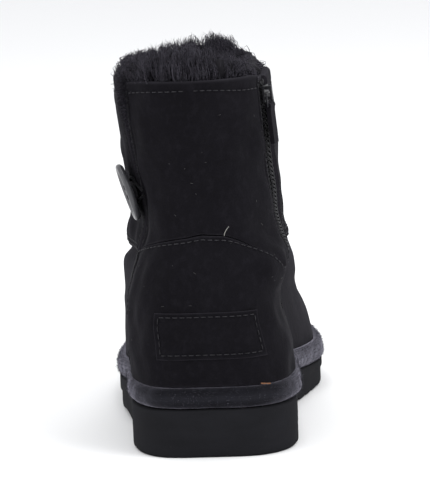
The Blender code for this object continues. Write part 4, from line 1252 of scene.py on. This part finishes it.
class BOOT_OT_sole(bpy.types.Operator):
    """Moulded sole with its tread, and the padded band round its top"""

    bl_idname = "boot.sole"
    bl_label = "Sole"

    def execute(self, context):
        self.outsole()
        self.binding()
        return {"FINISHED"}

    def outsole(self):
        """Solid of rings, capped above and below, with the tread cut out of it."""
        count = 288
        u = np.arange(count) / count
        round_low = 0.0014
        step = SOLE_STEP * ease((sole_edge(u)[1] / SOLE_LENGTH - SMOOTH_HEEL) / SMOOTH_HEEL)
        sides = [
            # height over the ground, inset
            (0.0, step + round_low),
            (round_low * 0.25, step + round_low * 0.42),
            (round_low * 0.7, step + round_low * 0.08),
            (round_low * 1.4, step),
            (TREAD_LAYER - 0.0006, step),
            (TREAD_LAYER - 0.0002, step * 0.9),
            (TREAD_LAYER + 0.0002, step * 0.1),
            (TREAD_LAYER + 0.0006, 0.0),
        ]
        rings = []
        for height, inset in sides:
            x, y = sole_edge(u, inset)
            rings.append(np.stack([x, y, ground(y) + height], axis=1))
        upper_edge = (
            # drop below the top, inset
            (0.0012, 0.0),
            (0.0005, 0.0002),
            (0.0001, 0.0007),
            (0.0, 0.0014),
            (0.0, 0.008),
        )
        for drop, inset in upper_edge:
            x, y = sole_edge(u, inset)
            rings.append(np.stack([x, y, sole_top(y) - drop], axis=1))
        points = np.concatenate(rings)
        faces = [tuple(f) for f in grid_faces(len(rings), count, True).tolist()]
        faces += self.cap(0, count, True)
        faces += self.cap((len(rings) - 1) * count, count, False)
        done = carved(blank_of("foam_sole", points + OFFSET, faces), self.teeth())
        finish_piece("foam_sole", done, look("foam"), "boot", ("outsole",))
        done.set_sharp_from_angle(angle=math.radians(35))

    def cap(self, first, count, flip):
        """Strips across a ring of points whose two sides have like numbers."""
        faces = []
        for j in range(count // 2):
            quad = [first + j, first + j + 1, first + (count - j - 1) % count, first + (count - j) % count]
            corners = [p for i, p in enumerate(quad) if p not in quad[:i]]
            faces.append(tuple(reversed(corners)) if flip else tuple(corners))
        return faces

    def teeth(self):
        """Saw-tooth grooves across the tread, apart from the back of the heel and the raised arch."""
        shape = bmesh.new()
        for i in range(int(SOLE_LENGTH / TREAD_PITCH)):
            start = (i + 1) * TREAD_PITCH
            middle = (start + TREAD_PITCH / 4) / SOLE_LENGTH
            if middle < TREAD_START or TREAD_GAP[0] < middle < TREAD_GAP[1] or middle > TREAD_END:
                continue
            floor = float(ground(start + TREAD_PITCH / 4))
            end = start + TREAD_PITCH * TREAD_SLOPE
            profile = ((start, -TREAD_DEPTH / 3), (start, TREAD_DEPTH), (end, -TREAD_DEPTH / 3))
            ends = []
            for side in (-BALL_WIDTH, BALL_WIDTH):
                corners = [Vector((side, y, floor + z)) + Vector(OFFSET) for y, z in profile]
                ends.append([shape.verts.new(corner) for corner in corners])
            shape.faces.new(ends[0][::-1])
            shape.faces.new(ends[1])
            for a, b in ((0, 1), (1, 2), (2, 0)):
                shape.faces.new((ends[0][a], ends[0][b], ends[1][b], ends[1][a]))
        bmesh.ops.recalc_face_normals(shape, faces=shape.faces)
        return object_of("tread_grooves", shape)

    def binding(self):
        """Band of suede over foam, with soft dents, and short fibres along its brushed surface."""
        turn = np.linspace(0, 1, 540, endpoint=False)
        angle = np.linspace(0, 2 * np.pi, 22, endpoint=False)
        height = 0.5 - 0.5 * np.cos(angle)
        bulge = np.sin(angle)
        out = np.where(bulge > 0, bulge**0.75, 0.0) * np.where(height > 0.5, 0.96, 1.0)
        rings = []
        for share, away in zip(height, out):
            ring = surface(turn, share * binding_top, CLEARANCE + away * BINDING_THICKNESS, False)
            ring[:, 2] = sole_top(ring[:, 1]) + CLEARANCE + share * BINDING_HEIGHT
            rings.append(ring)
        points = np.stack(rings)
        dents = waves(points, 0.022, 41) * 0.00035 + waves(points, 0.009, 42) * 0.00018
        outward = normal_at(turn, 0.05)
        points = points + outward[None] * (dents * out[:, None])[..., None]
        points[..., 2] += (waves(points, 0.03, 43) * 0.00035) * ((height > 0.6) * out)[:, None]
        faces = band_faces(len(angle), len(turn))
        finish = look("suede_binding")
        piece = add_piece("binding_suede", points, faces, finish, "binding", ("sole_binding",))
        # Lighter along the band's outer crest: painted highlight
        crest = np.clip(1 - np.abs(height - 0.5) / 0.5, 0, 1) * out
        mark(piece, "edge", (crest**3)[:, None] * np.ones((1, len(turn))) * 0.35)

        draw = np.random.default_rng(5)
        count = FUZZ_HAIRS
        row = draw.integers(1, 11, count)
        column = draw.integers(0, len(turn), count)
        roots = points[row, column] + draw.normal(0, 0.0003, (count, 3))
        way = unit(outward[column] + draw.normal(0, 0.5, (count, 3)) + np.array([0, 0, 0.3]))
        size = draw.uniform(0.0005, 0.0011, count)
        tips = roots + way * size[:, None]
        bend = draw.normal(0, 0.0002, (count, 3))
        fuzz = strands(roots - way * 0.0003, tips, bend, np.full(count, 0.00006), 2)
        piece = add_piece("binding_fuzz", *fuzz, finish, "binding")
        mark(piece, "edge", np.full(len(piece.data.vertices), 0.3))


def pile_height(u):
    """Share of the pile's full height round the collar: tall at the back and front, low at the sides."""
    side = np.sin(2 * np.pi * u)
    skew = np.sin(4 * np.pi * u)
    front = np.clip(-np.cos(2 * np.pi * u), 0, 1)
    uneven = front * (0.30 * np.clip(-skew, 0, 1) - 0.12 * np.clip(skew, 0, 1))
    return 1.38 - 0.88 * np.clip(side, 0, 1) - 0.72 * np.clip(-side, 0, 1) + uneven


class BOOT_OT_fleece(bpy.types.Operator):
    """Deep fleece of the collar and of the slit, as curly locks of hairs over a soft core"""

    bl_idname = "boot.fleece"
    bl_label = "Fleece"

    def execute(self, context):
        self.core()
        self.collar(context.scene.boot_look)
        self.slit(context.scene.boot_look)
        return {"FINISHED"}

    def core(self):
        """Soft ring under the hairs, from the inside of the shaft over the rim."""
        turn = np.linspace(0, 1, 300, endpoint=False)
        profile = (
            # level, rise, out
            (0.86, 0.0000, -0.0025),
            (0.95, 0.0000, -0.0025),
            (1.00, 0.0005, -0.0024),
            (1.00, 0.0035, -0.0020),
            (1.00, 0.0088, -0.0045),
            (1.00, 0.0092, -0.0075),
            (1.00, 0.0055, -0.0100),
            (0.97, 0.0000, -0.0112),
            (0.91, 0.0000, -0.0105),
            (0.84, 0.0000, -0.0080),
        )
        rings = []
        for level, rise, out in profile:
            ring = surface(turn, level, out, False)
            ring[:, 2] += rise * pile_height(turn)
            rings.append(ring)
        points = np.stack(rings)
        points = points + (waves(points, 0.006, 51) * 0.0006)[..., None] * normal_at(turn, 1.0)[None]
        faces = band_faces(len(profile), len(turn))
        # Darker wool and a further darkening over the whole core: painted shade under the hairs
        piece = add_piece("fleece_core", points, faces, look("wool_core_painted_shade"), "fleece", ("collar_fleece",))
        mark(piece, "painted_shade", np.full(points.shape[:2], 0.3))

    def locks(self, draw, count, first, last):
        """Places of the locks, the lock of each hair and the hair's own turn and depth across the pile."""
        lock_turn = draw.uniform(first, last, LOCK_COUNT)
        lock_depth = draw.uniform(-0.05, 1.05, LOCK_COUNT)
        which = draw.integers(0, LOCK_COUNT, count)
        turn = lock_turn[which] + draw.normal(0, LOCK_SPREAD, count)
        depth = np.clip(lock_depth[which] + draw.normal(0, LOCK_DEPTH_SPREAD, count), -0.1, 1.1)
        return lock_turn, lock_depth, which, turn, depth

    def collar(self, settings):
        """Hairs of the back and of the front half, drawn together into curly locks."""
        draw = np.random.default_rng(settings.seed)
        count = settings.fur_strands
        for name, first, last in (("fur_back", -0.27, 0.25), ("fur_front", 0.25, 0.73)):
            lock_turn, lock_depth, which, turn, depth = self.locks(draw, count, first, last)
            lock_size = draw.uniform(0.70, 1.2, LOCK_COUNT) * pile_height(lock_turn)
            lock_sway = draw.normal(0, LOCK_SWAY, (LOCK_COUNT, 3))
            roots, way = self.root_and_way(turn, depth)
            centre, lock_way = self.root_and_way(lock_turn, lock_depth)
            lock_way = unit(lock_way + lock_sway)
            lock_tip = centre + lock_way * (settings.fur_length * lock_size)[:, None]
            own_size = settings.fur_length * lock_size[which] * draw.uniform(0.7, 1.1, count)
            own_tip = roots + way * own_size[:, None]
            gather = draw.uniform(*LOCK_GATHER, count)[:, None]
            tips = own_tip * (1 - gather) + lock_tip[which] * gather + draw.normal(0, 0.0006, (count, 3))
            bend = lock_sway[which] * 0.003 + draw.normal(0, HAIR_BEND, (count, 3))
            radius = draw.uniform(0.00014, 0.00026, count)
            hairs = strands(roots, tips, bend, radius, HAIR_STEPS)
            piece = add_piece(name, *hairs, look("wool_black"), "fleece")
            # Painted shade, dark at the roots and none at the tips
            mark_hairs(piece, (0.9, 0.45, 0.12, 0.0), count)

    def root_and_way(self, turn, depth):
        """Roots from the outer to the inner side of the pile, and the way the hairs stand there."""
        inner = np.clip((depth - PILE_TURN) / PILE_INNER, 0, 1)
        across = np.clip(depth / PILE_TURN, 0, 1)
        level = 1.0 - INNER_DROP * inner - ROOT_DROP
        roots = surface(turn % 1, level, ROOT_OUT - ROOT_REACH * across, False)
        swell = ROOT_RISE * np.sin(across * np.pi) ** 0.7 * (1 - inner)
        roots[:, 2] += swell * pile_height(turn)
        normal = normal_at(turn % 1, 0.98)
        lean = np.interp(depth, [0.0, 0.25, 0.6, 1.0], [0.45, 0.10, -0.40, -1.3])
        lean = lean - 0.9 * np.clip(np.sin(2 * np.pi * turn), 0, 1) * (1 - inner)
        upwards = np.interp(depth, [0.0, 0.6, 1.0], [1.0, 1.0, 0.45])
        way = normal * lean[:, None] + np.array([0.0, 0.0, 1.0]) * upwards[:, None]
        return roots, unit(way)

    def slit(self, settings):
        """Wool that fills the slit, and the tuft at its top."""
        draw = np.random.default_rng(settings.seed + 1)
        count = SLIT_HAIRS
        v = 1 - (1 - slit_bottom) * draw.uniform(0, 1, count) ** 1.3
        u = SLIT_PLACE + draw.uniform(-1.5, 1.5, count) * slit_half
        roots = surface(u, v, -0.0035, False)
        normal = normal_at(u, v)
        high = ease((v - 0.86) / 0.14)
        way = unit(normal + draw.normal(0, 0.35, (count, 3)) + np.array([0, 0, 0.25]))
        size = draw.uniform(0.0035, 0.0052, count) + high * draw.uniform(0.001, 0.0055, count)
        tips = roots + way * size[:, None]
        bend = draw.normal(0, 0.0010, (count, 3))
        radius = draw.uniform(0.00013, 0.00024, count)
        hairs = strands(roots, tips, bend, radius, HAIR_STEPS)
        piece = add_piece("fur_slit", *hairs, look("wool_black"), "fleece")
        # Painted shade, dark at the roots and none at the tips
        mark_hairs(piece, (0.9, 0.5, 0.15, 0.0), count)


class BOOT_OT_button(bpy.types.Operator):
    """Button with its thread, and the loop round it"""

    bl_idname = "boot.button"
    bl_label = "Button and loop"

    def execute(self, context):
        panel_face = PANEL_CLEARANCE + PANEL_THICKNESS
        place = frame_at(BUTTON_PLACE, button_level, panel_face + BUTTON_STANDOFF)
        place = place @ Matrix.Rotation(BUTTON_SWING, 4, "Y") @ Matrix.Rotation(BUTTON_TILT, 4, "X")
        place = Matrix.Translation(Vector(OFFSET)) @ place
        self.disc(place)
        self.thread(place)
        self.loop(panel_face)
        return {"FINISHED"}

    def disc(self, place):
        """Turned button with a raised, rounded edge and four holes."""
        radius = BUTTON_DIAMETER / 2
        well = BUTTON_THICKNESS * BUTTON_WELL
        profile = [
            # radius, height, from the middle of the face outwards
            (0.0, well),
            (0.30 * radius, well),
            (0.60 * radius, well),
            (0.69 * radius, well * 1.03),
            (0.76 * radius, well * 1.22),
            (0.81 * radius, BUTTON_THICKNESS * 0.93),
        ]
        for angle in np.linspace(math.radians(115), math.radians(-50), 12):
            reach = 0.905 * radius + 0.095 * radius * math.cos(angle)
            profile.append((reach, BUTTON_THICKNESS * (0.56 + 0.44 * math.sin(angle))))
        profile += [(0.90 * radius, 0.0), (0.5 * radius, 0.0), (0.0, 0.0)]
        done = carved(self.turned(profile), self.drill())
        done.transform(place)
        finish_piece("button_disc", done, look("button_plastic"), "boot", ("button",))
        done.set_sharp_from_angle(angle=math.radians(50))

    def turned(self, profile):
        """Solid from a profile of radii and heights that begins and ends on the axis."""
        steps = 96
        turn = np.arange(steps) * 2 * np.pi / steps
        circle = np.stack([np.cos(turn), np.sin(turn), np.zeros(steps)], axis=1)
        points = [(0.0, 0.0, profile[0][1])]
        for reach, height in profile[1:-1]:
            points.extend((circle * reach + (0.0, 0.0, height)).tolist())
        points.append((0.0, 0.0, profile[-1][1]))
        ring_count = len(profile) - 2
        faces = [tuple(f) for f in (grid_faces(ring_count, steps, True)[:, ::-1] + 1).tolist()]
        last = 1 + (ring_count - 1) * steps
        for j in range(steps):
            k = (j + 1) % steps
            faces.append((0, 1 + j, 1 + k))
            faces.append((len(points) - 1, last + k, last + j))
        return blank_of("button_disc", points, faces)

    def drill(self):
        """Cutter for the four holes."""
        shape = bmesh.new()
        for x, y in ((-1, -1), (-1, 1), (1, -1), (1, 1)):
            move = Matrix.Translation((x * BUTTON_HOLE, y * BUTTON_HOLE, 0.002))
            bmesh.ops.create_cone(
                shape,
                cap_ends=True,
                segments=24,
                radius1=BUTTON_HOLE / 2,
                radius2=BUTTON_HOLE / 2,
                depth=0.012,
                matrix=move,
            )
        return object_of("drill", shape)

    def thread(self, place):
        """Two passes of several threads across the holes, and the wound shank behind."""
        spread = BUTTON_HOLE
        top = BUTTON_THICKNESS * BUTTON_WELL
        lines = []
        for y in (-spread, spread):
            for k in range(THREAD_PASSES):
                aside = (k - (THREAD_PASSES - 1) / 2) * THREAD_PITCH
                high = top + THREAD_RISE + 0.0002 * (k % 2)
                # across, height, from a hole to near the middle
                half = ((spread, -0.001), (spread - 0.0003, top), (spread * 0.5, high))
                path = [(-x, y + aside, z) for x, z in half]
                path += [(x, y + aside, z) for x, z in reversed(half)]
                lines.append(smooth_path(np.array(path), 16))
        shank_radius = spread * SHANK_SHARE
        foot = CLEARANCE + shank_radius * math.sin(math.hypot(BUTTON_TILT, BUTTON_SWING)) - BUTTON_STANDOFF
        turns_up = np.linspace(0, 1, 21)
        wound = []
        for k in range(SHANK_TURNS):
            angle = turns_up * 2 * np.pi + k
            height = foot + (k + turns_up) / SHANK_TURNS * (-CLEARANCE - foot)
            wide = shank_radius - 0.0004 - 0.0004 * np.sin(height * 900)
            wound.append(np.stack([wide * np.cos(angle), wide * np.sin(angle), height], axis=1))
        lines = np.array(lines)
        wound = np.array(wound)
        across = tubes(lines, np.full(lines.shape[:2], BUTTON_THREAD_RADIUS), STITCH_SIDES)
        shank = tubes(wound, np.full(wound.shape[:2], SHANK_THREAD_RADIUS), STITCH_SIDES)
        points, faces = merged([across, shank])
        points = np.array([place @ Vector(p) for p in points])
        piece = mesh_of("button_threads", points, faces)
        finish_piece("button_threads", piece, look("thread_grey"), "boot", ("button_thread",))

    def loop(self, panel_face):
        """Elastic cord from under the back panel's edge, round the thread and back."""
        lift = panel_face + CLEARANCE + LOOP_DIAMETER / 2
        lean = math.sin(math.hypot(BUTTON_TILT, BUTTON_SWING))
        ring = BUTTON_HOLE * SHANK_SHARE + LOOP_SLACK + LOOP_DIAMETER / 2 + BUTTON_STANDOFF * lean / 2
        seat = frame_at(BUTTON_PLACE, button_level, 0.0).inverted()
        start = (seat @ Vector(base_point(slit_turns[1], button_level))).x + 0.0012
        path = [(start, LOOP_DIAMETER * 0.8, lift * 0.6)]
        for angle in np.linspace(math.radians(45), math.radians(315), 13):
            path.append((ring * math.cos(angle), ring * math.sin(angle), lift))
        path.append((start, -LOOP_DIAMETER * 0.8, lift * 0.6))
        points = []
        for across, up, out in path:
            u, v = step_from(BUTTON_PLACE, button_level, across, up)
            points.append(surface(u, v, out, False))
        steps = 90
        line = smooth_path(np.array(points), steps)
        tangent = unit(np.gradient(line, axis=0))
        first = unit(np.cross(tangent, [0.2, 0.1, 0.97]))
        second = np.cross(tangent, first)
        reach = LOOP_DIAMETER * 0.20
        plaits = []
        for k in range(3):
            angle = np.linspace(0, 26 * np.pi, steps) + k * 2 * np.pi / 3
            plaits.append(line + reach * (first * np.cos(angle)[:, None] + second * np.sin(angle)[:, None]))
        plaits = np.array(plaits)
        cord = tubes(plaits, np.full(plaits.shape[:2], LOOP_DIAMETER * 0.32), 8)
        add_piece("loop_cord", *cord, look("thread_black"), "thread", ("elastic_loop",))


class BOOT_OT_zip(bpy.types.Operator):
    """Zip tape and coil, and finishes on the slider and its pull"""

    bl_idname = "boot.zip"
    bl_label = "Zip"

    def execute(self, context):
        low = float(counter_edge(np.array([counter_turns[1]]))[0]) - 0.02
        tape = Panel(
            zip_turns[0] + 0.0005, zip_turns[1] - 0.0005, flat_level(low), flat_level(0.988),
            ZIP_CHANNEL, 0.075, 0.0, 0.0005, 0.0004,
        )
        tape.build("zip_tape", 12, 90, look("thread_black"), "thread", ("zip_chain",), 0.0)
        v = np.linspace(low + 0.004, 0.975, RIB_COUNT)[:, None]
        pitch = v[1, 0] - v[0, 0]
        half = CHAIN_WIDTH / girth(1.0) / 2
        inmost = 0.06
        ribs = []
        for side in (-1, 1):
            share = np.linspace(inmost, 1.0, 6)[None, :]
            u = ZIP_PLACE + side * half * share
            slant = v + RIB_SLANT * (share - inmost) + (0.5 * pitch if side > 0 else 0)
            high = 0.0004 + CHAIN_THICKNESS * np.sqrt(np.clip(1 - (share * 0.95) ** 4, 0, 1))
            line = surface(u, np.minimum(slant, 1.0), high)
            ribs.append(tubes(line, np.full(line.shape[:2], RIB_RADIUS), 6))
        add_piece("zip_teeth", *merged(ribs), look("zip_coil"), "thread")
        # The pull tab is the panels' suede but gets the lighter vamp suede: painted light, since it hangs in
        # shade
        finishes = {"zip_slider": "dark_metal", "zip_pull": "dark_metal", "zip_pull_tab": "suede_vamp"}
        for node, finish in finishes.items():
            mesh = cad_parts[node].data
            mesh.materials.clear()
            mesh.materials.append(look(finish))
        return {"FINISHED"}


class BOOT_OT_stage(bpy.types.Operator):
    """Pale floor, soft studio light and the photograph's view"""

    bl_idname = "boot.stage"
    bl_label = "Stage"

    def execute(self, context):
        self.floor()
        self.lights(context.scene)
        self.camera(context.scene)
        context.scene.view_settings.view_transform = "Standard"
        return {"FINISHED"}

    def floor(self):
        """Large plain sheet under the boot."""
        shape = bmesh.new()
        bmesh.ops.create_grid(shape, x_segments=1, y_segments=1, size=14.0)
        floor = object_of("floor", shape)
        floor.data.materials.append(Nodes("pale_floor", (0.92, 0.92, 0.92), 0.9).material)

    def lights(self, scene):
        """Even light from all round, and three large lamps aimed at the heel."""
        world = bpy.data.worlds.new("studio")
        world.use_nodes = True
        background = world.node_tree.nodes["Background"]
        background.inputs["Color"].default_value = (0.97, 0.98, 1.0, 1)
        background.inputs["Strength"].default_value = 0.94
        scene.world = world
        target = Vector((0.0, -0.06, 0.09))
        for name, place, size, power in (
            # name, place, width, watts
            ("key", (1.2, -0.8, 1.3), 1.0, 15.0),
            ("fill", (-1.5, -0.5, 0.7), 1.2, 8.0),
            ("top", (0.0, 0.2, 1.8), 1.2, 12.0),
        ):
            data = bpy.data.lights.new(name, "AREA")
            data.size = size
            data.energy = power
            lamp = bpy.data.objects.new(name, data)
            lamp.location = place
            lamp.rotation_euler = (target - Vector(place)).to_track_quat("-Z", "Y").to_euler()
            scene.collection.objects.link(lamp)

    def camera(self, scene):
        """The photograph's view, a little over the heel, tilted to the left."""
        distance = 1.8
        turn = math.radians(3.07)
        rise = math.radians(8.18)
        roll = math.radians(2.2)
        back = Vector((math.sin(turn) * math.cos(rise), -math.cos(turn) * math.cos(rise), math.sin(rise)))
        right = Vector((math.cos(turn), math.sin(turn), 0.0))
        up = back.cross(right)
        across = right * math.cos(roll) - up * math.sin(roll)
        upright = right * math.sin(roll) + up * math.cos(roll)
        middle = Vector((0.0, 0.06, 0.085)) + Vector(OFFSET)
        target = middle + across * 0.0011 + upright * 0.00337
        data = bpy.data.cameras.new("camera")
        data.sensor_width = 36.0
        data.sensor_fit = "HORIZONTAL"
        data.lens = 321.8
        data.clip_end = 50.0
        camera = bpy.data.objects.new("camera", data)
        matrix = Matrix((across, upright, back)).transposed().to_4x4()
        matrix.translation = target + back * distance
        camera.matrix_world = matrix
        scene.collection.objects.link(camera)
        scene.camera = camera


class BOOT_PT_sidebar(bpy.types.Panel):
    """Buttons and settings in the sidebar"""

    bl_label = "Boot"
    bl_space_type = "VIEW_3D"
    bl_region_type = "UI"
    bl_category = "Boot"

    def draw(self, context):
        settings = context.scene.boot_look
        for name in BootLook.__annotations__:
            self.layout.prop(settings, name)
        for operator in OPERATORS:
            self.layout.operator(operator.bl_idname)


OPERATORS = (
    BOOT_OT_upper,
    BOOT_OT_panels,
    BOOT_OT_sole,
    BOOT_OT_fleece,
    BOOT_OT_button,
    BOOT_OT_zip,
    BOOT_OT_stage,
)


def register():
    for item in (BootLook, *OPERATORS, BOOT_PT_sidebar):
        bpy.utils.register_class(item)
    bpy.types.Scene.boot_look = bpy.props.PointerProperty(type=BootLook)


def unregister():
    del bpy.types.Scene.boot_look
    for item in (BOOT_PT_sidebar, *reversed(OPERATORS), BootLook):
        bpy.utils.unregister_class(item)


def main():
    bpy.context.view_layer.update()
    register()
    bpy.ops.boot.upper()
    bpy.ops.boot.panels()
    bpy.ops.boot.sole()
    bpy.ops.boot.fleece()
    bpy.ops.boot.button()
    bpy.ops.boot.zip()
    bpy.ops.boot.stage()


if __name__ == "__main__":
    main()
